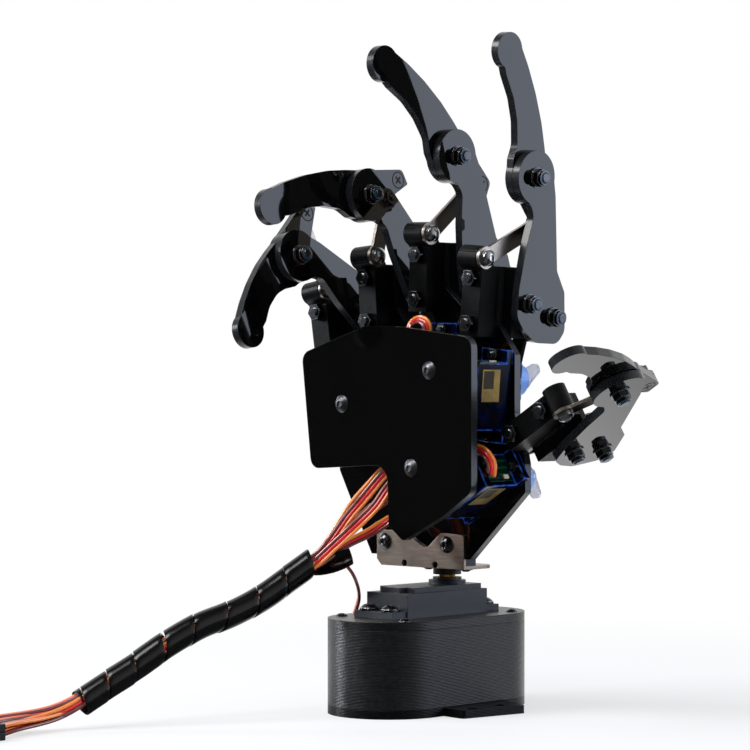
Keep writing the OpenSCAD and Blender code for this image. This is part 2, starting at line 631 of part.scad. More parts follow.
// Servo horn: hub, long arm to the push rod and a short tail
horn_hub_r = 3.4;
horn_end_r = 2;
horn_tail = 6.4;
horn_screw_r = 0.9;
module horn(f) color(NYLON) finger(f) {
    T = horn_pin(f[4]);
    turn = angle_of(T);
    difference() {
        union() {
            pin_through(shaft_y + 0.2, horn_y + horn_t, 0, 0, horn_hub_r);
            translate([0, horn_y + horn_t, 0]) rotate([90, 0, 0]) linear_extrude(horn_t) rotate(turn)
                union() {
                    polygon([[0, -horn_hub_r + 0.3], [horn_r, -horn_end_r], [horn_r, horn_end_r],
                        [0, horn_hub_r - 0.3], [-horn_tail, horn_end_r], [-horn_tail, -horn_end_r]]);
                    translate([horn_r, 0]) circle(horn_end_r);
                    translate([-horn_tail, 0]) circle(horn_end_r);
                }
        }
        pin_through(shaft_y, shaft_end, 0, 0, servo_shaft_r + running_fit);
        pin_through(shaft_y, horn_y + horn_t + 1, 0, 0, horn_screw_r);
    }
    color(BLACK_STEEL) {
        translate([0, horn_y + horn_t, 0]) rotate([-90, 0, 0]) button_head(1.9, 1.1);
        pin_through(shaft_end, horn_y + horn_t, 0, 0, horn_screw_r);
    }
}
// Push rod: flat bar behind the horn that ends in an upright eye round the bolt
rod_w = 5;
module push_rod(f) color(PRINTED) finger(f) {
    T = horn_pin(f[4]);
    P = [eye_y, e_point(f[4])[1]];
    lean = angle_of([eye_n, P[1]] - T);
    difference() {
        union() {
            translate([0, rod_y + rod_t, 0]) rotate([90, 0, 0]) linear_extrude(rod_t) union() {
                translate(T) rotate(lean) translate([0, -rod_w / 2]) square([rod_l - 6, rod_w]);
                translate(T) circle(rod_w / 2 + 0.3);
                translate(T) rotate(lean) translate([rod_l - 6, 0]) circle(rod_w / 2);
            }
            pin_across(eye_n - eye_t / 2, eye_n + eye_t / 2, P, eye_r);
            across(eye_n - eye_t / 2, eye_t) polygon([[rod_y, P[1] - 9], [rod_y + rod_t, P[1] - 9],
                P + eye_r * dir(-75), P + eye_r * dir(170), [rod_y, P[1] - 2]]);
        }
        pin_across(eye_n - eye_t, eye_n + eye_t, P, eye_hole_r);
    }
    color(BLACK_STEEL) {
        pin_through(horn_y + horn_t + 0.1, rod_y, T[0], T[1], 1.6);
        translate([T[0], rod_y + rod_t, T[1]]) rotate([-90, 0, 0]) button_head(1.9, 1.1);
    }
}

// ---- Cables ----
// Route of the finger servos' leads from behind the cover down to the floor
LEADS = [[4, -plate_front, 79.5], [4, -17, 79.5], [2, -21, 79], [-2, -23.5, 77.5], [-6.5, -27, 73.5],
    [-10.5, -34, 66], [-13.5, -41, 59.5], [-16.5, -48.5, 54], [-20, -58, 47.5], [-23.5, -68.5, 41],
    [-27, -79.5, 35.2], [-30.5, -90.5, 29.8],
    [-34, -102.5, 23.8], [-37, -113.5, 18], [-39.8, -124, 12.4], [-42.2, -133.5, 7.8],
    [-44.2, -142, 5], [-46, -151, 3.9], [-47.8, -160, 3.6], [-47.8, -169, 3.6]];
WRAP_FIRST = 7;
WRAP_LAST = 15;
// Route of the wrist servo's lead from the lid up to the wrap
WRIST_LEAD = [[-14, -29, 31], [-14, -29, 35], [-13.9, -29.6, 38.5], [-13.8, -31.6, 42], [-14, -35, 45.2],
    [-14.5, -38.8, 47.5], [-15.1, -42.5, 49.2]];
function heading(path, i) = let (n = len(path), d = path[min(i + 1, n - 1)] - path[max(i - 1, 0)]) d / norm(d);
function ring_at(path, i, r, sides) = let (h = heading(path, i), s0 = cross(h, [0, 0, 1]),
    s = norm(s0) > 0.2 ? s0 / norm(s0) : [1, 0, 0], v = cross(s, h), w = v / norm(v))
    [for (k = [0 : sides - 1]) path[i] + r * (cos(k * 360 / sides) * s + sin(k * 360 / sides) * w)];
module tube(path, r, sides) {
    n = len(path);
    polyhedron([for (i = [0 : n - 1]) each ring_at(path, i, r, sides)], concat(
        [[for (k = [0 : sides - 1]) k]],
        [for (i = [0 : n - 2], k = [0 : sides - 1])
            [i * sides + k, (i + 1) * sides + k, (i + 1) * sides + (k + 1) % sides, i * sides + (k + 1) % sides]],
        [[for (k = [sides - 1 : -1 : 0]) (n - 1) * sides + k]]));
}
// A sleeve over part of a tube: outer and inner walls joined by flat end rings
module sleeve(path, first, last, ro, ri, sides) {
    n = last - first + 1;
    m = n * sides;
    function q(i, k) = i * sides + k % sides;
    polyhedron(concat([for (i = [first : last]) each ring_at(path, i, ro, sides)],
        [for (i = [first : last]) each ring_at(path, i, ri, sides)]), [
        for (i = [0 : n - 2], k = [0 : sides - 1]) each [
            [q(i, k), q(i + 1, k), q(i + 1, k + 1), q(i, k + 1)],
            [m + q(i, k), m + q(i, k + 1), m + q(i + 1, k + 1), m + q(i + 1, k)]],
        for (k = [0 : sides - 1]) each [
            [q(0, k), q(0, k + 1), m + q(0, k + 1), m + q(0, k)],
            [q(n - 1, k), m + q(n - 1, k), m + q(n - 1, k + 1), q(n - 1, k + 1)]]]);
}
BUNDLE_SIDES = 10;
module finger_leads() color("#b8401f") tube(LEADS, bundle_r, BUNDLE_SIDES);
module cable_wrap() color(ACRYLIC)
    sleeve(LEADS, WRAP_FIRST, WRAP_LAST, wrap_r, bundle_r, BUNDLE_SIDES);
module wrist_lead() color("#5a1d16") tube(WRIST_LEAD, lead_r, 8);
plug_l = 14;
plug_w = 7.8;
plug_h = 2.6;
module lead_plugs() color(BLACK_STEEL) {
    last = LEADS[len(LEADS) - 1];
    for (i = [0 : 5]) translate([last[0] + (i % 3 - 1) * (plug_w + 0.4), last[1] - plug_l - 0.3,
        0.1 + floor(i / 3) * (plug_h + 0.1)]) translate([-plug_w / 2, 0, 0]) cube([plug_w, plug_l, plug_h]);
}

base_plate();
base_housing();
base_lid();
wrist_servo();
base_screws();
wrist_lead();
wrist_spline();
wrist_horn();
wrist_bracket();
bracket_screws();
palm_plate();
palm_cover();
cover_standoffs();
cover_screws();
servo_screws();
knuckle_screws();
link_screws();
finger_leads();
cable_wrap();
lead_plugs();
for (f = FINGERS) {
    servo(f);
    knuckle(f);
    proximal(f);
    distal(f);
    link(f);
    horn(f);
    push_rod(f);
    bolts(f);
}
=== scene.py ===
import json
import math

import bmesh
import bpy
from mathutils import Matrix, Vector


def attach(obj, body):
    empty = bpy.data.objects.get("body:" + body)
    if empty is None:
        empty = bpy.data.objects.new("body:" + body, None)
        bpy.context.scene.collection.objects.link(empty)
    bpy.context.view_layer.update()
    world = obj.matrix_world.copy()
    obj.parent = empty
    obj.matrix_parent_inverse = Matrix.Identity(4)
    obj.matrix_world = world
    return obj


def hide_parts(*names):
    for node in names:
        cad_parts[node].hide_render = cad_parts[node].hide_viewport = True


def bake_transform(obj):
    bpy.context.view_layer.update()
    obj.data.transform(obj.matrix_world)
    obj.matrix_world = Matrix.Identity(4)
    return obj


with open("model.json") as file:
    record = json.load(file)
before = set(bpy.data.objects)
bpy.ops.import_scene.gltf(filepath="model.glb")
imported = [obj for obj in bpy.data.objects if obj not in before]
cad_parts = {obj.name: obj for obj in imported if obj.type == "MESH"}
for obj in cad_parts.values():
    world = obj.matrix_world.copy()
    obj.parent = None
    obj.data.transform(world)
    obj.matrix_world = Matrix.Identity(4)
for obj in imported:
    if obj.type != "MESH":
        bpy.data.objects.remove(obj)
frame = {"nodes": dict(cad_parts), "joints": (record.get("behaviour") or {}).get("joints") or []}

mm = 0.001
nodes = frame["nodes"]
joints = {j["name"]: j for j in frame["joints"]}
scene = bpy.context.scene
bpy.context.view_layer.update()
fingerNames = ("index", "middle", "ring", "little", "thumb")


def linear(hexColour):  # sRGB hex to the linear values that the shaders take
    channels = [int(hexColour[i:i + 2], 16) / 255 for i in (1, 3, 5)]
    return [c / 12.92 if c <= 0.04045 else ((c + 0.055) / 1.055) ** 2.4 for c in channels] + [1.0]


def addNode(tree, kind, settings=None, links=None):  # a node with its settings and links
    node = tree.nodes.new(kind if "Node" in kind else "ShaderNode" + kind)
    for key, value in (settings or {}).items():
        if isinstance(key, int) or key in node.inputs:
            node.inputs[key].default_value = value
        elif key in ("From", "To"):  # the two ends of a Map Range
            node.inputs[key + " Min"].default_value, node.inputs[key + " Max"].default_value = value
        else:
            setattr(node, key, value)
    for key, source in (links or {}).items():
        tree.links.new(source, node.inputs[key])
    return node


def newMaterial(name, **settings):  # with its tree, its shader, set to those values, and object coordinates
    material = bpy.data.materials.new(name)
    material.use_nodes = True
    tree = material.node_tree
    shader = tree.nodes["Principled BSDF"]
    for key, value in settings.items():
        shader.inputs[key.replace("_", " ")].default_value = value
    return material, tree, shader, addNode(tree, "TexCoord").outputs["Object"]


def meshPiece(name, vertices, faces, materials, faceMaterials=None, smooth=True):
    mesh = bpy.data.meshes.new(name)
    mesh.from_pydata([tuple(v) for v in vertices], [], faces)
    for material in materials:
        mesh.materials.append(material)
    if faceMaterials:
        mesh.polygons.foreach_set("material_index", faceMaterials)
    mesh.polygons.foreach_set("use_smooth", [smooth] * len(mesh.polygons))
    mesh.update()
    piece = bpy.data.objects.new(name, mesh)
    scene.collection.objects.link(piece)
    return piece


# Camera, light and floor
cameraView = {
    "place": (0.66946, -0.72090, 0.11714),
    "turn": math.radians(44.374),
    "focalLength": 132.97,
}
camera = bpy.data.objects.new("camera", bpy.data.cameras.new("camera"))
camera.location = cameraView["place"]
camera.rotation_euler = (math.pi / 2, 0, cameraView["turn"])
camera.data.lens = cameraView["focalLength"]
camera.data.sensor_width = 36
scene.collection.objects.link(camera)
scene.camera = camera
scene.view_settings.view_transform = "Standard"

studio = {
    "room": 0.40,  # grey level of the light that comes from all round
    "rear": (-0.70, 0.714, 0.0),  # the direction that lies behind the hand
    "right": (0.79, 0.60, 0.10),
    "mirrorDark": 0.03,  # what gloss sees of the room on the camera's side
    "mirrorRight": 0.55,  # what gloss sees of the room on the right
    "rearFade": (0.25, 0.80),  # cosines between which the room turns from dark to white, as gloss sees it
    "rightFade": (0.30, 0.85),
    "floorSize": 1.7,
    "floorTone": "#eceff4",
    "white": (0.12, 0.40),  # distances from the base over which the floor turns into plain white background
    "whiteNear": 0.62,  # how much of that white the floor has beside the base, where the shadow stays
    "sideways": (0.715, 0.699, 0.0),
    "mirrorFloor": 1.35,  # how bright gloss sees the floor under the hand
    "mirrorHalf": (0.09, 0.24),  # distances to either side over which it turns dark
    "mirrorNear": 0.05,  # how much of it is left in front of the hand
    "mirrorFront": (-0.03, 0.03),  # distances from front to rear over which it comes up
}
softboxes = {
    "rightRear": {"place": (0.95, 0.75, 0.40), "size": 0.85, "power": 5.0, "colour": "#dbe7ff"},
    "overhead": {"place": (0.02, -0.55, 1.05), "size": 0.42, "power": 4.5, "colour": "#ffffff"},
    "leftFront": {"place": (-0.55, -0.85, 0.80), "size": 0.45, "power": 9.0, "colour": "#ffffff"},
    "left": {"place": (-1.08, -0.60, 0.36), "size": 0.24, "power": 7.0, "colour": "#f4f8ff"},
}
aimPoint = Vector((0, 0, 0.11))


def makeWorld():
    world = bpy.data.worlds.new("studioRoom")
    scene.world = world
    world.use_nodes = True
    tree = world.node_tree
    tree.nodes.clear()
    coords = addNode(tree, "TexCoord")
    levels = []
    for side, brightest in (("rear", 1.0), ("right", studio["mirrorRight"])):
        towards = addNode(tree, "VectorMath", {"operation": "DOT_PRODUCT", 1: studio[side]},
                          {0: coords.outputs["Generated"]})
        seen = addNode(tree, "MapRange", {"From": studio[side + "Fade"],
                       "To": (studio["mirrorDark"], brightest), "interpolation_type": "SMOOTHSTEP"},
                       {"Value": towards.outputs["Value"]})
        levels.append(seen.outputs["Result"])
    mirror = addNode(tree, "Math", {"operation": "MAXIMUM"}, {0: levels[0], 1: levels[1]})
    path = addNode(tree, "LightPath")
    gloss = addNode(tree, "Mix", {2: studio["room"]},
                    {0: path.outputs["Is Glossy Ray"], 3: mirror.outputs[0]})
    direct = addNode(tree, "Math", {"operation": "MAXIMUM"},
                     {0: path.outputs["Is Camera Ray"], 1: path.outputs["Is Transmission Ray"]})
    level = addNode(tree, "Mix", {3: 1.0}, {0: direct.outputs[0], 2: gloss.outputs[0]})
    light = addNode(tree, "Background", {"Color": linear("#ffffff")}, {"Strength": level.outputs[0]})
    addNode(tree, "OutputWorld", links={"Surface": light.outputs[0]})


def makeSoftbox(name, box):
    lamp = bpy.data.lights.new(name, "AREA")
    lamp.size = box["size"]
    lamp.energy = box["power"]
    lamp.color = linear(box["colour"])[:3]
    holder = bpy.data.objects.new(name, lamp)
    holder.location = box["place"]
    holder.rotation_euler = (aimPoint - holder.location).to_track_quat("-Z", "Y").to_euler()
    holder.visible_camera = False
    scene.collection.objects.link(holder)


def makeFloor():
    # White paper: lit by the lamps near the hand, where it keeps the shadow, and plain white further out
    half = studio["floorSize"] / 2
    tone = linear(studio["floorTone"])
    paper, tree, shader, coords = newMaterial("whitePaper", Roughness=0.6, Base_Color=tone)
    away = addNode(tree, "VectorMath", {"operation": "LENGTH"}, {0: coords})
    white = addNode(tree, "MapRange", {"From": studio["white"], "To": (studio["whiteNear"], 1.0),
                    "interpolation_type": "SMOOTHSTEP"}, {"Value": away.outputs["Value"]})
    across = addNode(tree, "VectorMath", {"operation": "DOT_PRODUCT", 1: studio["sideways"]}, {0: coords})
    aside = addNode(tree, "Math", {"operation": "ABSOLUTE"}, {0: across.outputs["Value"]})
    beside = addNode(tree, "MapRange", {"From": studio["mirrorHalf"],
                     "To": (studio["mirrorFloor"], studio["mirrorDark"])}, {"Value": aside.outputs[0]})
    rear = addNode(tree, "VectorMath", {"operation": "DOT_PRODUCT", 1: studio["rear"]}, {0: coords})
    back = addNode(tree, "MapRange", {"From": studio["mirrorFront"],
                   "To": (studio["mirrorNear"], 1.0)}, {"Value": rear.outputs["Value"]})
    mirrored = addNode(tree, "Math", {"operation": "MULTIPLY"},
                       {0: beside.outputs["Result"], 1: back.outputs["Result"]})
    path = addNode(tree, "LightPath")
    level = addNode(tree, "Mix", {3: 1.0}, {0: path.outputs["Is Camera Ray"], 2: mirrored.outputs[0]})
    seen = addNode(tree, "Math", {"operation": "MULTIPLY"},
                   {0: white.outputs["Result"], 1: path.outputs["Is Camera Ray"]})
    share = addNode(tree, "Math", {"operation": "MAXIMUM"},
                    {0: seen.outputs[0], 1: path.outputs["Is Glossy Ray"]})
    glow = addNode(tree, "Emission", {"Color": linear("#ffffff")}, {"Strength": level.outputs[0]})
    mix = addNode(tree, "MixShader", links={0: share.outputs[0], 1: shader.outputs[0], 2: glow.outputs[0]})
    tree.links.new(mix.outputs[0], tree.nodes["Material Output"].inputs["Surface"])
    floor = meshPiece("floor", [(-half, -half, 0), (half, -half, 0), (half, half, 0), (-half, half, 0)],
                      [(0, 1, 2, 3)], [paper])


makeWorld()
for boxName, box in softboxes.items():
    makeSoftbox(boxName, box)
makeFloor()
print("hand: camera, light and floor")


# Finishes; a grain's scale is the number of its lumps in a metre, so 700 is a lump every 1.4 mm
shaftToKnuckle = 26.5 * mm


def fingerFrame(f):  # the servo shaft's place, and the finger's directions across (n) and up (u)
    n = Vector(joints[f + "_flex"]["axis"])
    if n.x < 0:
        n = -n
    u = Vector((-n.z, 0, n.x))
    pivot = Vector(joints[f + "_flex"]["pos_m"])
    return Vector((pivot.x, 0, pivot.z)) - shaftToKnuckle * u, n, u


def edgeMask(tree, width, bend):  # 1 along an object's edges, 0 on its flats
    rounded = addNode(tree, "Bevel", {"samples": 4, "Radius": width})
    geometry = addNode(tree, "NewGeometry")
    turn = addNode(tree, "VectorMath", {"operation": "DOT_PRODUCT"},
                   {0: rounded.outputs["Normal"], 1: geometry.outputs["True Normal"]})
    bent = addNode(tree, "Math", {"operation": "SUBTRACT", 0: 1.0}, {1: turn.outputs["Value"]})
    return addNode(tree, "MapRange", {"From": bend}, {"Value": bent.outputs[0]}).outputs["Result"]


def toneAndGloss(tree, shader, tones, mask, roughness=None, glossMask=None):
    # Base colour and roughness go from their first value to their second with the mask
    tone = addNode(tree, "Mix", {"data_type": "RGBA", 6: linear(tones[0]), 7: linear(tones[1])}, {0: mask})
    tree.links.new(tone.outputs[2], shader.inputs["Base Color"])
    if roughness:
        rough = addNode(tree, "MapRange", {"To": roughness}, {"Value": glossMask or mask})
        tree.links.new(rough.outputs["Result"], shader.inputs["Roughness"])


def relief(tree, shader, edge=0.0, height=None, depth=0.0, strength=0.0):
    # Sharp edges are shaded as if rounded to that radius, and the height is shaded as fine relief over them
    normal = None
    if edge:
        normal = addNode(tree, "Bevel", {"samples": 4, "Radius": edge}).outputs["Normal"]
    if height:
        bump = addNode(tree, "Bump", {"Strength": strength, "Distance": depth}, {"Height": height})
        if normal:
            tree.links.new(normal, bump.inputs["Normal"])
        normal = bump.outputs["Normal"]
    tree.links.new(normal, shader.inputs["Normal"])


def ridges(pitch, direction, distortion):  # a wave texture's settings for ridges of that pitch
    return {"wave_type": "BANDS", "bands_direction": direction, "Scale": math.pi / (10 * pitch),
            "Distortion": distortion, "Detail": 1.0, "Detail Scale": 0.2}


printed = {
    "layers": 0.5 * mm, "waviness": 0.4, "depth": 0.07 * mm, "strength": 0.8, "edge": 0.45 * mm,
    "grain": 700.0, "roughness": (0.24, 0.46),
    # Painted sheen: the slanting stripes below are the moiré of the layer lines' highlights, drawn into the
    # base colour
    "sheenStripes": 2.3 * mm, "sheenStripeWaviness": 1.2, "sheenStripeTurn": math.radians(-22),
    "sheenStripeFlat": (0.93, 0.995),  # how squarely a face has to face along X to show the painted sheen stripes
}


def printedPlastic(name, direction="Z", sheenStripes=False, tones=("#050506", "#121315"), sheen=0.5):
    # Fused-filament PLA: satin black whose layer lines catch the light; drawn 0.5 mm apart so that they show
    material, tree, shader, coords = newMaterial(name, IOR=1.46, Specular_IOR_Level=sheen)
    layers = addNode(tree, "TexWave", ridges(printed["layers"], direction, printed["waviness"]),
                     {"Vector": coords})
    mask = addNode(tree, "TexNoise", {"Scale": printed["grain"], "Detail": 3.0},
                   {"Vector": coords}).outputs["Fac"]
    if sheenStripes:  # painted sheen: slanting stripes, the moiré that the layer lines' highlights make, on the long flat side
        turned = addNode(tree, "Mapping", {"Rotation": (printed["sheenStripeTurn"], 0, 0)}, {"Vector": coords})
        stripes = addNode(tree, "TexWave", ridges(printed["sheenStripes"], "Z", printed["sheenStripeWaviness"]),
                          {"Vector": turned.outputs["Vector"]})
        geometry = addNode(tree, "NewGeometry")
        facing = addNode(tree, "SeparateXYZ", links={0: geometry.outputs["True Normal"]})
        flat = addNode(tree, "MapRange", {"From": printed["sheenStripeFlat"]}, {"Value": facing.outputs["X"]})
        shown = addNode(tree, "Math", {"operation": "MULTIPLY"},
                        {0: stripes.outputs["Fac"], 1: flat.outputs["Result"]})
        mask = addNode(tree, "Math", {"operation": "ADD"}, {0: shown.outputs[0], 1: mask}).outputs[0]
    toneAndGloss(tree, shader, tones, mask, printed["roughness"])
    relief(tree, shader, printed["edge"], layers.outputs["Fac"], printed["depth"], printed["strength"])
    return material


acrylic = {
    "tones": ("#050505", "#1c1e21"), "roughness": (0.03, 0.24), "edge": 0.22 * mm,
    "edgeTurn": (0.9, 0.4),  # cosines to the sheet's own faces between which a surface becomes a cut edge
    "cuts": 2400.0, "cutDepth": 0.03 * mm, "cutStrength": 0.5,
}


def castAcrylic(name, faceNormal):
    # Laser-cut cast acrylic: polished black faces, and satin edges with the laser's fine lines across them
    material, tree, shader, coords = newMaterial(name, IOR=1.49)
    geometry = addNode(tree, "NewGeometry")
    facing = addNode(tree, "VectorMath", {"operation": "DOT_PRODUCT", 1: faceNormal},
                     {0: geometry.outputs["True Normal"]})
    flat = addNode(tree, "Math", {"operation": "ABSOLUTE"}, {0: facing.outputs["Value"]})
    cutEdge = addNode(tree, "MapRange", {"From": acrylic["edgeTurn"]},
                      {"Value": flat.outputs[0]}).outputs["Result"]
    toneAndGloss(tree, shader, acrylic["tones"], cutEdge, acrylic["roughness"])
    along = addNode(tree, "VectorMath", {"operation": "DOT_PRODUCT", 1: faceNormal}, {0: coords})
    through = addNode(tree, "VectorMath", {"operation": "SCALE", 0: faceNormal},
                      {"Scale": along.outputs["Value"]})
    level = addNode(tree, "VectorMath", {"operation": "SUBTRACT"},
                    {0: coords, 1: through.outputs["Vector"]})
    cuts = addNode(tree, "TexNoise", {"Scale": acrylic["cuts"], "Detail": 2.0},
                   {"Vector": level.outputs["Vector"]})
    amount = addNode(tree, "Math", {"operation": "MULTIPLY"}, {0: cuts.outputs["Fac"], 1: cutEdge})
    relief(tree, shader, acrylic["edge"], amount.outputs[0], acrylic["cutDepth"], acrylic["cutStrength"])
    return material


moulded = {"roughness": (0.34, 0.48), "grain": 1500.0, "depth": 0.012 * mm, "strength": 0.5, "patches": 90.0,
           "edge": 0.35 * mm}


def mouldedBlack(name, *tones):
    # Injection-moulded nylon or ABS: a fine spark-eroded grain, and rounded edges that show as pale lines
    material, tree, shader, coords = newMaterial(name, IOR=1.5)
    grain = addNode(tree, "TexNoise", {"Scale": moulded["grain"], "Detail": 4.0}, {"Vector": coords})
    patch = addNode(tree, "TexNoise", {"Scale": moulded["patches"], "Detail": 2.0}, {"Vector": coords})
    toneAndGloss(tree, shader, tones, patch.outputs["Fac"], moulded["roughness"])
    relief(tree, shader, moulded["edge"], grain.outputs["Fac"], moulded["depth"], moulded["strength"])
    return material


oxide = {
    # The pale tone is a painted highlight along the edges
    "tones": ("#2c2d30", "#b4b8be"), "roughness": (0.16, 0.30), "grain": 1400.0, "grainShare": 0.3,
    "highlightReach": 0.3 * mm, "highlightBend": (0.01, 0.12),  # how far the painted highlight reaches from an edge, in distance and in bend
    "edge": 0.32 * mm,
}


def blackOxide(name):
    # Blackened steel fasteners: dark and oily, with a painted highlight along their edges
    material, tree, shader, coords = newMaterial(name, Metallic=1.0)
    grain = addNode(tree, "TexNoise", {"Scale": oxide["grain"], "Detail": 3.0}, {"Vector": coords})
    # Painted highlight: the colour turns pale along the edges, and a little with the grain
    edges = edgeMask(tree, oxide["highlightReach"], oxide["highlightBend"])
    grainAndHighlight = addNode(tree, "Math", {"operation": "MULTIPLY_ADD", 1: oxide["grainShare"], "use_clamp": True},
                   {0: grain.outputs["Fac"], 2: edges})
    toneAndGloss(tree, shader, oxide["tones"], grainAndHighlight.outputs[0], oxide["roughness"], grain.outputs["Fac"])
    relief(tree, shader, oxide["edge"])
    return material


bar = {"streaks": (60.0, 60.0, 1800.0), "edge": 0.2 * mm, "depth": 0.01 * mm, "strength": 0.25,
       "patches": 160.0}


def barMetal(name, tones, roughness, streaks=bar["streaks"], edge=bar["edge"]):
    # Rolled, plated or turned metal: fine grain drawn along one direction
    material, tree, shader, coords = newMaterial(name, Metallic=1.0)
    along = addNode(tree, "Mapping", {"Scale": streaks}, {"Vector": coords})
    grain = addNode(tree, "TexNoise", {"Scale": 1.0, "Detail": 4.0}, {"Vector": along.outputs["Vector"]})
    patch = addNode(tree, "TexNoise", {"Scale": bar["patches"], "Detail": 2.0}, {"Vector": coords})
    toneAndGloss(tree, shader, tones, grain.outputs["Fac"], roughness, patch.outputs["Fac"])
    relief(tree, shader, edge, grain.outputs["Fac"], bar["depth"], bar["strength"])
    return material


blueCase = {
    "deep": ("#020308", "#071038"), "works": 150.0, "worksShown": (0.45, 0.78),
    # The bright blue edge tone and the band it covers are painted light along the edges
    "edgeGlowTone": "#3f78ff", "edge": 1.3 * mm, "edgeBend": (0.03, 0.40),
    "patches": 260.0, "patchesShown": (0.38, 0.62),
    "gears": ("#3f6fe0", "#86b2ff"), "gearPitch": 1.4 * mm, "rim": "#3a35b8",
    "bossFrom": -8.2 * mm, "bossRadius": 6.2 * mm,
    "paintedGlow": 0.35,  # how strongly the edges glow, a painted glow for the light that they gather
    "bossGlow": 0.35,  # the share of that painted glow that the boss gives out
    "soft": 0.3 * mm,
}


def clearBlue(name, shaft):
    # Tinted clear polycarbonate case: near-black with depth; bright blue painted light with a painted glow
    # where its edges gather the light; and sky blue round the output shaft, where the gears show through,
    # with a fainter painted glow
    material, tree, shader, coords = newMaterial(name, Roughness=0.12, IOR=1.45, Specular_IOR_Level=0.3)
    sharp = edgeMask(tree, blueCase["edge"], blueCase["edgeBend"])
    shares = []
    for grain, shown in (("patches", "patchesShown"), ("works", "worksShown")):
        lumps = addNode(tree, "TexNoise", {"Scale": blueCase[grain], "Detail": 2.0}, {"Vector": coords})
        share = addNode(tree, "MapRange", {"From": blueCase[shown]}, {"Value": lumps.outputs["Fac"]})
        shares.append(share.outputs["Result"])
    # Painted light: the glowing band along the edges, broken into patches
    edge = addNode(tree, "Math", {"operation": "MULTIPLY"}, {0: sharp, 1: shares[0]})
    inside = addNode(tree, "Mix", {"data_type": "RGBA", 6: linear(blueCase["deep"][0]),
                     7: linear(blueCase["deep"][1])}, {0: shares[1]})
    case = addNode(tree, "Mix", {"data_type": "RGBA", 7: linear(blueCase["edgeGlowTone"])},
                   {0: edge.outputs[0], 6: inside.outputs[2]})
    axisPlane = addNode(tree, "VectorMath", {"operation": "MULTIPLY", 1: (1, 0, 1)}, {0: coords})
    reach = addNode(tree, "VectorMath", {"operation": "DISTANCE", 1: (shaft.x, 0, shaft.z)},
                    {0: axisPlane.outputs["Vector"]}).outputs["Value"]
    near = addNode(tree, "Math", {"operation": "LESS_THAN", 1: blueCase["bossRadius"]}, {0: reach})
    along = addNode(tree, "SeparateXYZ", links={0: coords})
    out = addNode(tree, "Math", {"operation": "GREATER_THAN", 1: blueCase["bossFrom"]},
                  {0: along.outputs["Y"]})
    boss = addNode(tree, "Math", {"operation": "MULTIPLY"}, {0: near.outputs[0], 1: out.outputs[0]})
    wave = addNode(tree, "Math", {"operation": "MULTIPLY", 1: 2 * math.pi / blueCase["gearPitch"]},
                   {0: reach})
    rings = addNode(tree, "Math", {"operation": "SINE"}, {0: wave.outputs[0]})
    ringTone = addNode(tree, "MapRange", {"From": (-1.0, 1.0)}, {"Value": rings.outputs[0]})
    gears = addNode(tree, "Mix", {"data_type": "RGBA", 6: linear(blueCase["gears"][0]),
                    7: linear(blueCase["gears"][1])}, {0: ringTone.outputs["Result"]})
    rim = addNode(tree, "Mix", {"data_type": "RGBA", 7: linear(blueCase["rim"])},
                  {0: edge.outputs[0], 6: gears.outputs[2]})
    body = addNode(tree, "Mix", {"data_type": "RGBA"},
                   {0: boss.outputs[0], 6: case.outputs[2], 7: rim.outputs[2]})
    tree.links.new(body.outputs[2], shader.inputs["Base Color"])
    # The colour is also given out as a painted glow, on the edges and more faintly on the boss
    tree.links.new(body.outputs[2], shader.inputs["Emission Color"])
    dim = addNode(tree, "Math", {"operation": "MULTIPLY", 1: blueCase["bossGlow"]}, {0: boss.outputs[0]})
    bright = addNode(tree, "Math", {"operation": "MAXIMUM"}, {0: edge.outputs[0], 1: dim.outputs[0]})
    paintedGlow = addNode(tree, "Math", {"operation": "MULTIPLY", 1: blueCase["paintedGlow"]},
                       {0: bright.outputs[0]})
    tree.links.new(paintedGlow.outputs[0], shader.inputs["Emission Strength"])
    relief(tree, shader, blueCase["soft"])
    return material


def plainSheen(name, tones, roughness, **more):
    # Smooth plastic or rubber: slightly uneven tone and gloss
    material, tree, shader, coords = newMaterial(name, **more)
    patch = addNode(tree, "TexNoise", {"Scale": 350.0, "Detail": 2.0}, {"Vector": coords})
    toneAndGloss(tree, shader, tones, patch.outputs["Fac"], (roughness * 0.8, roughness * 1.25))
    return material


board = {"tones": ("#04211a", "#0a4a33"), "tracks": 1.3 * mm, "bends": 6.0, "shown": (0.62, 0.75)}


def circuitBoard(name):
    # Green solder mask over copper tracks: thin paler lines and pads
    material, tree, shader, coords = newMaterial(name, Roughness=0.25, IOR=1.52)
    tracks = addNode(tree, "TexWave", ridges(board["tracks"], "X", board["bends"]), {"Vector": coords})
    shown = addNode(tree, "MapRange", {"From": board["shown"]}, {"Value": tracks.outputs["Fac"]})
    toneAndGloss(tree, shader, board["tones"], shown.outputs["Result"])
    return material


foil = {"wrinkles": 240.0, "depth": 0.03 * mm, "strength": 0.3}


def goldFoil(name, *tones):
    # Metallised film label: a soft gold sheen with faint wrinkles
    material, tree, shader, coords = newMaterial(name, Metallic=0.6, Roughness=0.35)
    wrinkle = addNode(tree, "TexNoise", {"Scale": foil["wrinkles"], "Detail": 3.0},
                      {"Vector": coords}).outputs["Fac"]
    toneAndGloss(tree, shader, tones, wrinkle)
    relief(tree, shader, 0.0, wrinkle, foil["depth"], foil["strength"])
    return material


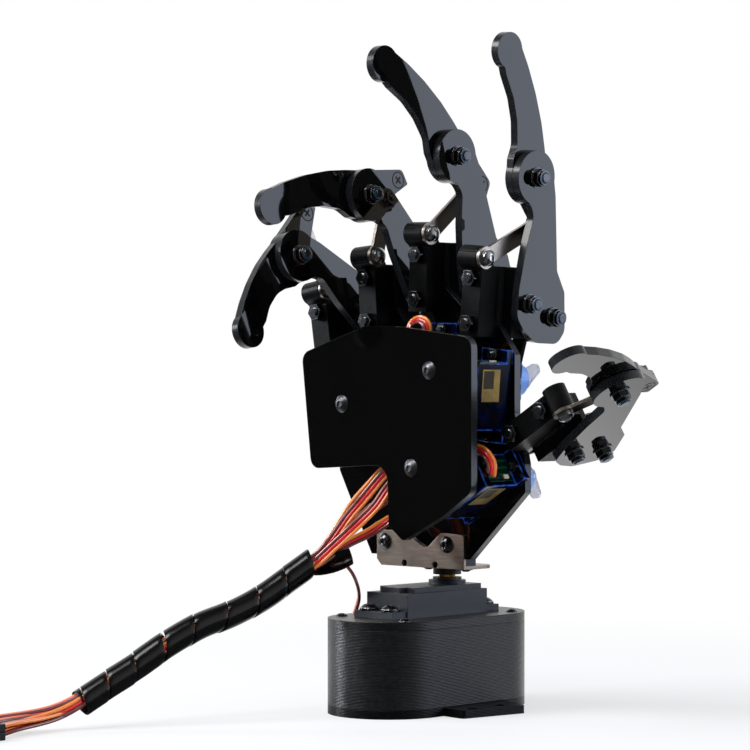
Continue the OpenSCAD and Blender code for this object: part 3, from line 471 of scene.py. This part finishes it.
printedBase = printedPlastic("printedPla", "Z", sheenStripes=True, tones=("#060708", "#1b1d20"))
printedLid = printedPlastic("printedLidPla", "Z")
printedPlate = printedPlastic("printedPlatePla", "Z", tones=("#040405", "#0d0e10"), sheen=0.2)
printedJoint = printedPlastic("printedKnuckle", "Y", tones=("#030304", "#0c0d0e"), sheen=0.15)
servoCase = mouldedBlack("mouldedServoNylon", "#1d2025", "#30343b")
hornPlastic = mouldedBlack("mouldedHorn", "#0c0c0e", "#17181a")
plugPlastic = mouldedBlack("plugPlastic", "#0d0d0e", "#181819")
fastener = blackOxide("blackOxideSteel")
brassGear = barMetal("turnedBrass", ("#a97c2c", "#d9a848"), (0.24, 0.34))
nickelSheet = barMetal("nickelSteelSheet", ("#7d6f63", "#b5a99d"), (0.28, 0.46), (160.0, 1400.0, 1400.0),
                       0.4 * mm)
steelLink = barMetal("brushedSteelLink", ("#8a8178", "#bdb6ad"), (0.24, 0.36), (40.0, 1500.0, 1500.0))
greyScrew = barMetal("zincScrew", ("#55565a", "#77787c"), (0.32, 0.46), (900.0, 900.0, 900.0))
brightScrew = barMetal("nickelScrew", ("#a9aaad", "#d6d7da"), (0.16, 0.28), (900.0, 900.0, 900.0))
servoBlue = {f: clearBlue(f + "ClearBlue", fingerFrame(f)[0]) for f in fingerNames}
nylonWhite = plainSheen("nylonHorn", ("#f0f3f7", "#ffffff"), 0.45, IOR=1.3, Transmission_Weight=0.55)
insertBlue = plainSheen("nylonInsert", ("#0c2a40", "#1c5273"), 0.3, IOR=1.53)
wrapPlastic = plainSheen("polyethyleneWrap", ("#060607", "#0a0a0c"), 0.2, IOR=1.51)
pvcGloss = {"IOR": 1.56, "Specular_IOR_Level": 1.0, "Coat_Weight": 1.0, "Coat_Roughness": 0.16}
wireBrown = plainSheen("pvcBrown", ("#6e2f2b", "#8d4841"), 0.2, **pvcGloss)
wireRed = plainSheen("pvcRed", ("#de0f20", "#f42a34"), 0.2, **pvcGloss)
wireOrange = plainSheen("pvcOrange", ("#ff8226", "#ff9f50"), 0.2, **pvcGloss)
boardGreen = circuitBoard("solderMask")
labelGold = goldFoil("goldLabel", "#4f3e18", "#b3954e")
labelDark = goldFoil("darkLabel", "#17130c", "#3a2f17")
# Painted shade: a dark sheet for the shade inside the screws' cross recesses
recessDark = plainSheen("screwRecess", ("#0b0b0c", "#1c1c1e"), 0.45, Metallic=0.8)
chipCream = plainSheen("ceramicPart", ("#c9c0a8", "#e6dfca"), 0.4, IOR=1.5)
palmAcrylic = castAcrylic("palmAcrylic", (0, 1, 0))
fingerAcrylic = {f: castAcrylic(f + "Acrylic", joints[f + "_flex"]["axis"]) for f in fingerNames}

finishOf = {
    "base_plate": printedPlate, "base_housing": printedBase, "base_lid": printedLid, "base_screws": fastener,
    "wrist_servo": servoCase, "wrist_spline": brassGear, "wrist_horn": hornPlastic,
    "wrist_bracket": nickelSheet, "bracket_screws": fastener, "palm_plate": palmAcrylic,
    "palm_cover": palmAcrylic, "cover_standoffs": fastener, "cover_screws": greyScrew,
    "servo_screws": fastener, "knuckle_screws": fastener, "link_screws": brightScrew,
}
for f in fingerNames:
    finishOf.update({
        "servo_" + f: servoBlue[f], "knuckle_" + f: printedJoint, "proximal_" + f: fingerAcrylic[f],
        "distal_" + f: fingerAcrylic[f], "link_" + f: steelLink, "horn_" + f: nylonWhite,
        "push_rod_" + f: printedJoint, "bolts_" + f: fastener})
for nodeName, material in finishOf.items():
    nodes[nodeName].data.materials.clear()
    nodes[nodeName].data.materials.append(material)
print("hand: finishes on", len(finishOf), "nodes")

# Leads and spiral wrap; the bundle's route goes from behind the cover to the floor
bundleRoute = [Vector(p) * mm for p in (
    (4, -13, 79.5), (4, -17, 79.5), (2, -21, 79), (-2, -23.5, 77.5), (-6.5, -27, 73.5), (-10.5, -34, 66),
    (-13.5, -41, 59.5), (-16.5, -48.5, 54), (-20, -58, 47.3), (-23.5, -68.5, 40.4), (-27, -79.5, 35.4),
    (-30.5, -90.5, 31.9), (-34, -102.5, 26.2), (-37, -113.5, 19.6), (-39.8, -124, 13.7),
    (-42.2, -133.5, 8.1), (-44.2, -142, 5), (-46, -151, 3.9), (-47.8, -160, 3.6), (-47.8, -169, 3.6))]
wrapFirst = 7  # the points of that route between which the wrap lies
wrapLast = 15
leadShape = {
    "wire": 0.63 * mm, "pitch": 1.22 * mm, "width": 3.7 * mm, "sides": 10, "step": 1.4 * mm,
    "rootPoints": 5,  # how many of a lead's first points have their width as at its root
    "easing": 6,  # how often a lead's corners are eased
    "raised": 1.1,  # how far above the bundle's middle the leads leave the wrap, in mm
    "fanning": 1.5,  # how late they spread from the wrap to their plugs
    "held": 0.4,  # the share of the bundle's height that a lead adds to its plug's on the way
    "steadiness": 0.75,  # how far each point of a ribbon keeps the width's direction at the one before
}
plugShape = {
    "length": 14 * mm, "width": 7.8 * mm, "height": 2.6 * mm, "space": 0.3 * mm, "column": 8.2 * mm,
    "row": 2.7 * mm, "floor": 0.1 * mm, "wire": 1.4 * mm, "cells": 7, "windows": (-2, 0, 2),
    "windowRim": 0.12 * mm, "windowDepth": 0.5 * mm, "softEdge": 0.2 * mm,
}
# For each lead: its way from the servo to the wrap, its place in the wrap (across, up), the direction of the
# ribbon's width at its root (face, where no root is given), up to the wrap (face) and in it (lie), and its
# place at the plugs (column, row)
leads = {
    "little": {"route": [(-31.6, -26, 113), (-31.6, -26.3, 115), (-30, -26.6, 118.8), (-25.9, -27, 120.4),
                         (-21.8, -27, 118.8), (-20.1, -27, 114.6), (-18, -27, 107), (-9, -27, 101),
                         (0, -27, 96.5), (3.5, -27.8, 90), (1.2, -28.8, 86), (-3, -29.8, 82.2),
                         (-5.3, -32.5, 77.8), (-8.2, -36.7, 71.9), (-9.8, -40.3, 67.7), (-10.9, -44.3, 62.4),
                         (-12.1, -48.2, 57.7), (-14.9, -50.9, 53.6)],
               "place": (0, 1.8), "face": (0.54, 0.53, -0.66), "lie": (-0.95, 0.3, 0), "plug": (0, 1)},
    "ring": {"route": [(-9.7, -26, 123.9), (-9.6, -26.2, 125.6), (-8, -26.5, 129.4), (-4, -26.5, 131),
                       (0, -26.5, 129.4), (1.7, -26, 125.2), (1.9, -26, 112), (3, -25.5, 97), (4, -26.5, 89),
                       (-3.8, -28.2, 84), (-6.5, -31.5, 79.2), (-9.6, -36, 73.4), (-10.8, -39.3, 69),
                       (-12.3, -42.2, 64), (-14.1, -44.6, 59.4), (-15.7, -47.6, 55.1)],
             "place": (0, 0.6), "face": (-0.54, -0.53, 0.66), "lie": (-0.95, 0.3, 0), "plug": (1, 1)},
    "middle": {"route": [(14.5, -26, 130.6), (15.9, -26, 133.2), (13.9, -26, 136), (10, -26, 136.8),
                         (6, -26, 134.4), (3.2, -25, 129), (2.5, -24, 115), (2.5, -23, 100), (2, -22.5, 86),
                         (-0.5, -24.5, 77), (-4, -27, 73.5), (-6.4, -30.6, 71.2), (-8.2, -35.5, 67.4),
                         (-9.6, -40.2, 63), (-11.2, -44, 58.6), (-13.6, -47.5, 54.3)],
               "place": (0, -0.6), "face": (0.25, 0.3, 0.92), "lie": (0.95, -0.3, 0), "plug": (2, 1)},
    "index": {"route": [(35.3, -26, 121.5), (35.3, -26.4, 123.2), (33.7, -26.6, 127), (29.8, -26.4, 128.6),
                        (25.8, -26, 127), (24.2, -25.5, 122.8), (24.2, -25, 111), (20, -25, 98),
                        (9, -25.5, 88.5), (2, -28, 81), (-0.5, -31, 77), (-0.8, -34, 73),
                        (-2.4, -38.4, 68.6), (-5, -42.3, 64.3), (-8, -45.6, 60.1), (-11.4, -48.6, 56),
                        (-15.2, -51.4, 51.6)],
              "place": (2.4, 0), "face": (0.54, 0.53, -0.66), "lie": (0, -0.3, -1), "plug": (0, 0)},
    "thumb": {"route": [(44, -26, 82.6), (45.4, -26, 85.6), (44.2, -26.3, 89.2), (40.6, -26.3, 91.8),
                        (37, -26, 92.4), (30, -26, 92.2), (20, -25, 91), (10, -23, 85), (3, -21.5, 77),
                        (-2, -20.7, 69.8), (-7.4, -23, 65.9), (-10.3, -28.5, 62), (-12.8, -35, 59.2),
                        (-14.2, -41, 56.4), (-15.4, -46, 53)],
              "place": (-2.4, 0), "root": (0.5, 0.3, 0.8), "face": (0.3, 0.25, 0.92),
              "lie": (0, 0.3, 1), "plug": (1, 0)},
}
wristLead = {"route": [(-18.2, -29.3, 31), (-17.4, -29.2, 33.6), (-15.7, -29.3, 36.3), (-14.3, -29.8, 39.5),
                       (-11.3, -34.1, 44.5), (-13, -34.4, 47.8), (-14.7, -36.1, 50.7),
                       (-16, -38.8, 53.6), (-16.5, -42.7, 55.9), (-16.5, -47.6, 54.7)],
             "place": (0, -1.8), "face": (-0.78, 0.63, 0), "lie": (-0.95, 0.3, 0), "plug": (2, 0)}


def smoothLine(points, step):  # a Catmull-Rom curve through the points, sampled about evenly
    padded = [2 * points[0] - points[1]] + list(points) + [2 * points[-1] - points[-2]]
    line = []
    for a, b, c, d in zip(padded, padded[1:], padded[2:], padded[3:]):
        count = max(2, round((c - b).length / step))
        for k in range(count):
            t = k / count
            line.append(0.5 * (2 * b + (c - a) * t + (2 * a - 5 * b + 4 * c - d) * t ** 2
                               + (3 * b - a - 3 * c + d) * t ** 3))
    return line + [points[-1].copy()]


def headings(line):
    last = len(line) - 1
    return [(line[min(i + 1, last)] - line[max(i - 1, 0)]).normalized() for i in range(last + 1)]


def acrossBundle(along):  # the bundle's own sideways and upward directions
    side = along.cross(Vector((0, 0, 1))).normalized()
    return side, side.cross(along)


def addTube(vertices, faces, line, radius, sides, axes):
    start, rings = len(vertices), len(line)
    for point, (side, up) in zip(line, axes):
        for k in range(sides):
            angle = 2 * math.pi * k / sides
            vertices.append(point + radius * (math.cos(angle) * side + math.sin(angle) * up))
    for i in range(rings - 1):
        for k in range(sides):
            n = (k + 1) % sides
            faces.append((start + i * sides + k, start + (i + 1) * sides + k,
                          start + (i + 1) * sides + n, start + i * sides + n))
    faces.append(tuple(start + k for k in range(sides)))
    faces.append(tuple(start + (rings - 1) * sides + k for k in reversed(range(sides))))


def leadLine(lead):  # the whole route of one lead, and how the ribbon's width lies at each of its points
    across, up = lead["place"]
    column, row = lead["plug"]
    points = [Vector(p) * mm for p in lead["route"]]
    roots = leadShape["rootPoints"]
    face = Vector(lead["face"])
    widths = [Vector(lead["root"]) if "root" in lead else face] * roots + [face] * (len(points) - roots)
    flat = Vector((math.copysign(1, sum(lead["lie"])), 0, 0))  # flat on the floor, turned the nearer way
    courses = headings(bundleRoute)
    for i in range(wrapFirst + 1, len(bundleRoute)):
        middle = bundleRoute[i]
        side, rise = acrossBundle(courses[i])
        free = max(0, (i - wrapLast) / (len(bundleRoute) - 1 - wrapLast))
        raised = leadShape["raised"] if i >= wrapLast - 1 else 0
        inWrap = middle + (across * side + (up + raised) * rise) * mm
        atPlug = Vector((middle.x + (column - 1) * plugShape["column"], middle.y, plugShape["wire"]
                         + plugShape["row"] * row + (1 - free) * middle.z * leadShape["held"]))
        points.append(inWrap.lerp(atPlug, free ** leadShape["fanning"]))
        widths.append(Vector(lead["lie"]).lerp(flat, free))
    line = smoothLine(points, leadShape["step"])
    for _ in range(leadShape["easing"]):  # a limp lead takes no sharp corner
        line = line[:1] + [(a + 2 * b + c) / 4 for a, b, c in zip(line, line[1:], line[2:])] + line[-1:]
    spread = []
    for i in range(len(line)):
        at = i / (len(line) - 1) * (len(points) - 1)
        low = min(int(at), len(points) - 2)
        spread.append(widths[low].lerp(widths[low + 1], at - low))
    return line, spread


def ribbonAxes(line, spread):  # the ribbon's width made square to its heading, without a sudden turn
    axes, before = [], None
    for along, hint in zip(headings(line), spread):
        side = hint - along * hint.dot(along)
        if before is not None:
            side = side.normalized().lerp(before - along * before.dot(along), leadShape["steadiness"])
        side.normalize()
        axes.append((side, side.cross(along)))
        before = side
    return axes


def makeLead(name, lead):
    line, spread = leadLine(lead)
    axes = ribbonAxes(line, spread)
    vertices, faces, ids = [], [], []
    for number in range(3):
        before, offset = len(faces), (number - 1) * leadShape["pitch"]
        addTube(vertices, faces, [p + offset * side for p, (side, up) in zip(line, axes)],
                leadShape["wire"], leadShape["sides"], axes)
        ids += [number] * (len(faces) - before)
    return meshPiece(name, vertices, faces, [wireBrown, wireRed, wireOrange], ids), line


def routeLength(line):
    return sum((b - a).length for a, b in zip(line, line[1:]))


def addBlock(vertices, faces, place, *corners):  # a box between two corners; place(a, b, c) gives its points
    start = len(vertices)
    across, deep, tall = zip(*corners)
    vertices += [place(a, b, c) for c in tall for b in deep for a in across]
    for face in ((0, 2, 3, 1), (4, 5, 7, 6), (0, 1, 5, 4), (2, 6, 7, 3), (0, 4, 6, 2), (1, 3, 7, 5)):
        faces.append(tuple(start + k for k in face))


def softenEdges(piece, width, segments):
    edge = piece.modifiers.new("softEdges", "BEVEL")
    edge.width = width
    edge.segments = segments
    return edge


def makePlug(name, column, row):  # a three-way plug's housing, with a window over each contact
    x = bundleRoute[-1].x + (column - 1) * plugShape["column"]
    z = plugShape["floor"] + row * plugShape["row"]
    front = bundleRoute[-1].y - plugShape["space"]
    length = plugShape["length"]
    half = plugShape["width"] / 2
    cells = plugShape["cells"]
    vertices, faces = [], []
    addBlock(vertices, faces, lambda *corner: corner, (x - half, front - length, z),
             (x + half, front, z + plugShape["height"]))
    piece = meshPiece(name, vertices, faces, [plugPlastic, brassGear], smooth=False)
    housing = bmesh.new()
    housing.from_mesh(piece.data)
    for axis, span in ((0, half), (1, length / 2)):  # the sides along x, then those along y, in cells
        sides = [e for e in housing.edges if abs(e.verts[0].co[axis] - e.verts[1].co[axis]) > span]
        bmesh.ops.subdivide_edges(housing, edges=sides, cuts=cells - 1, use_grid_fill=True)
    windows = []
    for face in housing.faces:
        middle = face.calc_center_median()
        cell = round((middle.x - x) / (2 * half / cells))
        midway = abs(middle.y - front + length / 2) < length / 10
        if face.normal.z > 0.9 and midway and cell in plugShape["windows"]:
            windows.append(face)
    bmesh.ops.inset_individual(housing, faces=windows, thickness=plugShape["windowRim"],
                               depth=-plugShape["windowDepth"])
    for face in windows:
        face.material_index = 1
    housing.to_mesh(piece.data)
    housing.free()
    softenEdges(piece, plugShape["softEdge"], 2)
    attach(piece, "palm")
    return piece


for leadName, lead in {**leads, "wrist": wristLead}.items():
    plug = makePlug("plug_" + leadName, *lead["plug"])
    piece, line = makeLead("lead_" + leadName, lead)
    if leadName == "wrist":
        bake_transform(piece)
        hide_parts("wrist_lead")
    else:
        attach(piece, "palm")
    tuple(line[0])
    round(routeLength(line), 3)
    [tuple(p) for p in line]
    print("hand: lead", leadName, round(routeLength(line) / mm), "mm")
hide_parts("finger_leads")
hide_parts("lead_plugs")

# The wrap is one strip wound round the bundle; its seams lie at these distances along the route, in mm
wrapShape = {
    "radius": 4.6 * mm, "wall": 0.7 * mm, "around": 48, "rows": 6, "step": 1.0 * mm, "softEdge": 0.12 * mm,
    "seams": (13.3, 25.1, 37.6, 50.4, 63.5, 76.2, 88.2, 99.5, 109.7),
    "gaps": (0.35, 0.5, 0.4, 0.55, 1.5, 0.45, 0.6, 0.4),  # how far apart two turns stand at each seam, in mm
    "leastGap": 0.3,
    "lead": 2,  # how far the strip starts before its first seam
    "lift": 0.25,  # how far its leading edge stands up here and there
    "liftPace": 5.3,  # and how quickly that comes and goes, in radians a turn
    "seamFaces": 2.87,  # the angle round the bundle at which a seam faces the front
    "backTurn": 0.62,  # how much of a turn the strip reaches back before its first seam
}
# The strip's free end stands half open under the leads
flapShape = {
    "line": ((-17.5, -51.3, 52.1), (-15.6, -48.4, 52.2), (-13, -45.6, 52.9), (-10.2, -43, 54),
             (-7.8, -41.2, 55)),
    "radii": (4.3, 4.5, 4.5, 4.2, 3.6), "from": math.radians(-84), "to": math.radians(-216), "rows": 14,
    "step": 1.2 * mm,
}


def tabled(table, at):  # the value between the entries of a table
    low = min(max(int(math.floor(at)), 0), len(table) - 2)
    return table[low] + (table[low + 1] - table[low]) * (at - low)


def addGrid(vertices, faces, rows, columns, place):  # a sheet of faces whose points place(row, column) gives
    start = len(vertices)
    vertices += [place(i, k) for i in range(rows + 1) for k in range(columns + 1)]
    for i in range(rows):
        for k in range(columns):
            a = start + i * (columns + 1) + k
            faces.append((a, a + 1, a + columns + 2, a + columns + 1))


def makeWrap():
    route = smoothLine(bundleRoute[wrapFirst - 1:wrapLast + 1], wrapShape["step"])
    length = routeLength(route)
    courses = headings(route)
    travelled = [0.0]
    for a, b in zip(route, route[1:]):
        travelled.append(travelled[-1] + (b - a).length)

    def onWrap(distance, radius, angle):
        distance = min(max(distance, 0.0), length - 0.001 * mm)
        i = min(max(k for k in range(len(route)) if travelled[k] <= distance), len(route) - 2)
        share = (distance - travelled[i]) / (travelled[i + 1] - travelled[i])
        side, up = acrossBundle(courses[i].lerp(courses[i + 1], share).normalized())
        return route[i].lerp(route[i + 1], share) + radius * (math.cos(angle) * side + math.sin(angle) * up)

    seams, around, rows = wrapShape["seams"], wrapShape["around"], wrapShape["rows"]
    back = wrapShape["backTurn"]
    steps = round((len(seams) - 1 + back) * around)

    def onStrip(i, k):
        turn, share = i / around - back, k / rows
        front = max(tabled(seams, turn), seams[0] - wrapShape["lead"])
        gap = max(tabled(wrapShape["gaps"], turn), wrapShape["leastGap"])
        rear = min(tabled(seams, turn + 1) - gap, seams[-1])
        lift = wrapShape["lift"] * math.sin(turn * wrapShape["liftPace"]) * (1 - share)
        return onWrap((front + (rear - front) * share) * mm, wrapShape["radius"] + lift * mm,
                      wrapShape["seamFaces"] + 2 * math.pi * turn)

    vertices, faces = [], []
    addGrid(vertices, faces, steps, rows, onStrip)
    line = [Vector(p) * mm for p in flapShape["line"]]
    flap = smoothLine(line, flapShape["step"])
    ahead = headings(flap)

    def onFlap(i, k):
        side, up = acrossBundle(ahead[i])
        angle = flapShape["from"] + (flapShape["to"] - flapShape["from"]) * k / flapShape["rows"]
        radius = tabled(flapShape["radii"], i / (len(flap) - 1) * (len(line) - 1)) * mm
        return flap[i] + radius * (math.cos(angle) * side + math.sin(angle) * up)

    addGrid(vertices, faces, len(flap) - 1, flapShape["rows"], onFlap)
    piece = meshPiece("spiralWrap", vertices, faces, [wrapPlastic])
    merged = bmesh.new()
    merged.from_mesh(piece.data)
    tiny = 0.01 * mm
    bmesh.ops.remove_doubles(merged, verts=merged.verts, dist=tiny)
    bmesh.ops.dissolve_degenerate(merged, edges=merged.edges, dist=tiny / 2)
    merged.to_mesh(piece.data)
    merged.free()
    wall = piece.modifiers.new("wall", "SOLIDIFY")
    wall.thickness = wrapShape["wall"]
    wall.offset = -1
    softenEdges(piece, wrapShape["softEdge"], 2).limit_method = "ANGLE"
    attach(piece, "palm")
    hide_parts("cable_wrap")


makeWrap()
print("hand: spiral wrap")

# Small parts on the servos and fingers
# Each block: material number, low corner, high corner, in mm (across the finger, y, up the finger)
servoFittings = {
    "materials": (boardGreen, labelGold, labelDark, chipCream, plugPlastic),
    "blocks": (
        (0, (-4.4, -27.6, 6.0), (4.4, -16.6, 6.35)), (4, (-2.6, -25.6, 6.35), (0.2, -22.6, 6.75)),
        (3, (2.2, -20.4, 6.35), (3.6, -18.4, 6.85)), (4, (1.4, -25.4, 6.35), (3.4, -22.6, 6.7)),
        (1, (6.1, -27.6, -7.0), (6.14, -18.8, 4.0)), (2, (6.14, -27.1, -2.6), (6.17, -21.9, 3.5)),
        (1, (-6.14, -27.6, -7.0), (-6.1, -18.8, 4.0)), (2, (-6.17, -27.1, -2.6), (-6.14, -21.9, 3.5))),
    "softEdge": 0.02 * mm,
}


def faceOutwards(mesh):
    solid = bmesh.new()
    solid.from_mesh(mesh)
    bmesh.ops.recalc_face_normals(solid, faces=solid.faces)
    solid.to_mesh(mesh)
    solid.free()


def makeFittings(f):  # the driver board at the servo's upper end, and a bare label on each flat side
    start, n, u = fingerFrame(f)

    def place(a, b, c):
        return start + (n * a + Vector((0, b, 0)) + u * c) * mm

    vertices, faces, ids = [], [], []
    for number, low, high in servoFittings["blocks"]:
        addBlock(vertices, faces, place, low, high)
        ids += [number] * 6
    piece = meshPiece("fittings_" + f, vertices, faces, servoFittings["materials"], ids, smooth=False)
    faceOutwards(piece.data)
    softenEdges(piece, servoFittings["softEdge"], 1)
    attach(piece, "palm")


# Reach is how far from the finger's middle plane they lie
ringShape = {"outer": 2.15 * mm, "inner": 1.5 * mm, "sides": 28, "sectionSides": 8, "reach": 8.75 * mm}
# The recess is a dark cross standing proud of the head, painted shade
recessShape = {"length": 3.3 * mm, "width": 0.62 * mm, "proud": 0.05 * mm, "rim": 2.75 * mm, "rimSides": 32,
               "wire": 0.09 * mm, "wireSides": 6, "reach": 1.8 * mm}


def hoop(tree, given, sectionSides):  # a ring of round section
    path = addNode(tree, "GeometryNodeCurvePrimitiveCircle",
                   links={"Resolution": given["Sides"], "Radius": given["Ring Radius"]})
    section = addNode(tree, "GeometryNodeCurvePrimitiveCircle", {"Resolution": sectionSides},
                      {"Radius": given["Section Radius"]})
    return addNode(tree, "GeometryNodeCurveToMesh", links={"Curve": path.outputs["Curve"],
                   "Profile Curve": section.outputs["Curve"]}).outputs["Mesh"]


def insertRing(tree, given):
    return hoop(tree, given, ringShape["sectionSides"])


def crossRecess(tree, given):  # a dark cross standing proud of the head as painted shade for its cross recess, and the screw head's rim
    size = addNode(tree, "CombineXYZ",
                   links={"X": given["Length"], "Y": given["Width"], "Z": given["Height"]})
    block = addNode(tree, "GeometryNodeMeshCube", links={"Size": size.outputs[0]})
    cross = addNode(tree, "GeometryNodeJoinGeometry")
    for angle in (math.pi / 4, -math.pi / 4):
        arm = addNode(tree, "GeometryNodeTransform", {"Rotation": (0, 0, angle)},
                      {"Geometry": block.outputs[0]})
        tree.links.new(arm.outputs[0], cross.inputs[0])
    tree.links.new(hoop(tree, given, recessShape["wireSides"]), cross.inputs[0])
    return cross.outputs[0]


def growTree(makeShape, material, *sizes):  # a tree that sets the shape on each point, square to the axis
    tree = bpy.data.node_groups.new(makeShape.__name__, "GeometryNodeTree")
    for way in ("INPUT", "OUTPUT"):
        tree.interface.new_socket("Geometry", in_out=way, socket_type="NodeSocketGeometry")
    sockets = {}
    kinds = {"Sides": "NodeSocketInt", "Axis": "NodeSocketVector"}
    for name in ("Sides", "Ring Radius", "Section Radius", "Axis") + sizes:
        kind = kinds.get(name, "NodeSocketFloat")
        sockets[name] = tree.interface.new_socket(name, in_out="INPUT", socket_type=kind).identifier
    given = addNode(tree, "NodeGroupInput").outputs
    turn = addNode(tree, "FunctionNodeAlignRotationToVector", {"axis": "Z"}, {"Vector": given["Axis"]})
    spread = addNode(tree, "GeometryNodeInstanceOnPoints", links={"Points": given["Geometry"],
                     "Instance": makeShape(tree, given), "Rotation": turn.outputs["Rotation"]})
    real = addNode(tree, "GeometryNodeRealizeInstances", links={0: spread.outputs["Instances"]})
    finish = addNode(tree, "GeometryNodeSetMaterial", {"Material": material}, {"Geometry": real.outputs[0]})
    addNode(tree, "NodeGroupOutput", links={"Geometry": finish.outputs["Geometry"]})
    return tree, sockets


def growPiece(name, points, tree, sockets, values, body):  # the tree's result at the points, as a plain mesh
    seedMesh = bpy.data.meshes.new(name + "_points")
    seedMesh.from_pydata([tuple(p) for p in points], [], [])
    seed = bpy.data.objects.new(name + "_points", seedMesh)
    scene.collection.objects.link(seed)
    grow = seed.modifiers.new("grow", "NODES")
    grow.node_group = tree
    for key, value in values.items():
        grow[sockets[key]] = value
    ready = seed.evaluated_get(bpy.context.evaluated_depsgraph_get())
    mesh = bpy.data.meshes.new_from_object(ready)
    bpy.data.objects.remove(seed)
    bpy.data.meshes.remove(seedMesh)
    faceOutwards(mesh)
    piece = bpy.data.objects.new(name, mesh)
    scene.collection.objects.link(piece)
    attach(piece, body)


# Pivot distances of the link and of the fingertip's ear, and the rod's pivot from the knuckle
fingerLinks = {"link": 28.5 * mm, "ear": 18.7 * mm, "rodBack": 4.5 * mm, "rodOut": 13 * mm}


def linkMeets(start, startReach, end, endReach, n):  # the pivot at both reaches, on the back of the finger
    gap = end - start
    along = (startReach ** 2 - endReach ** 2 + gap.length_squared) / (2 * gap.length)
    aside = math.sqrt(startReach ** 2 - along ** 2)
    direction = gap.normalized()
    return start + direction * along - n.cross(direction) * aside


ringTree, ringSockets = growTree(insertRing, insertBlue)
recessTree, recessSockets = growTree(crossRecess, recessDark, "Length", "Width", "Height")
for f in fingerNames:
    makeFittings(f)
    start, n, u = fingerFrame(f)
    knuckle = Vector(joints[f + "_flex"]["pos_m"])
    tip = Vector(joints[f + "_tip_flex"]["pos_m"])
    alongFinger = (tip - knuckle).normalized()
    acrossFinger = n.cross(alongFinger)
    rod = knuckle - alongFinger * fingerLinks["rodBack"] - acrossFinger * fingerLinks["rodOut"]
    section = (ringShape["outer"] - ringShape["inner"]) / 2
    inserts = [p + n * ringShape["reach"] for p in (knuckle, tip, rod)]
    growPiece("inserts_" + f, inserts, ringTree, ringSockets,
              {"Sides": ringShape["sides"], "Ring Radius": ringShape["inner"] + section,
               "Section Radius": section, "Axis": tuple(n)}, f + "_lower")
    swing = Vector(joints[f + "_link_swing"]["pos_m"])
    ear = linkMeets(swing, fingerLinks["link"], tip, fingerLinks["ear"], n)
    growPiece("recess_" + f, [ear + n * recessShape["reach"]], recessTree, recessSockets,
              {"Sides": recessShape["rimSides"], "Ring Radius": recessShape["rim"],
               "Section Radius": recessShape["wire"], "Axis": tuple(n), "Length": recessShape["length"],
               "Width": recessShape["width"], "Height": recessShape["proud"] * 2}, f + "_tip")
print("hand: servo fittings, nut inserts and screw recesses")
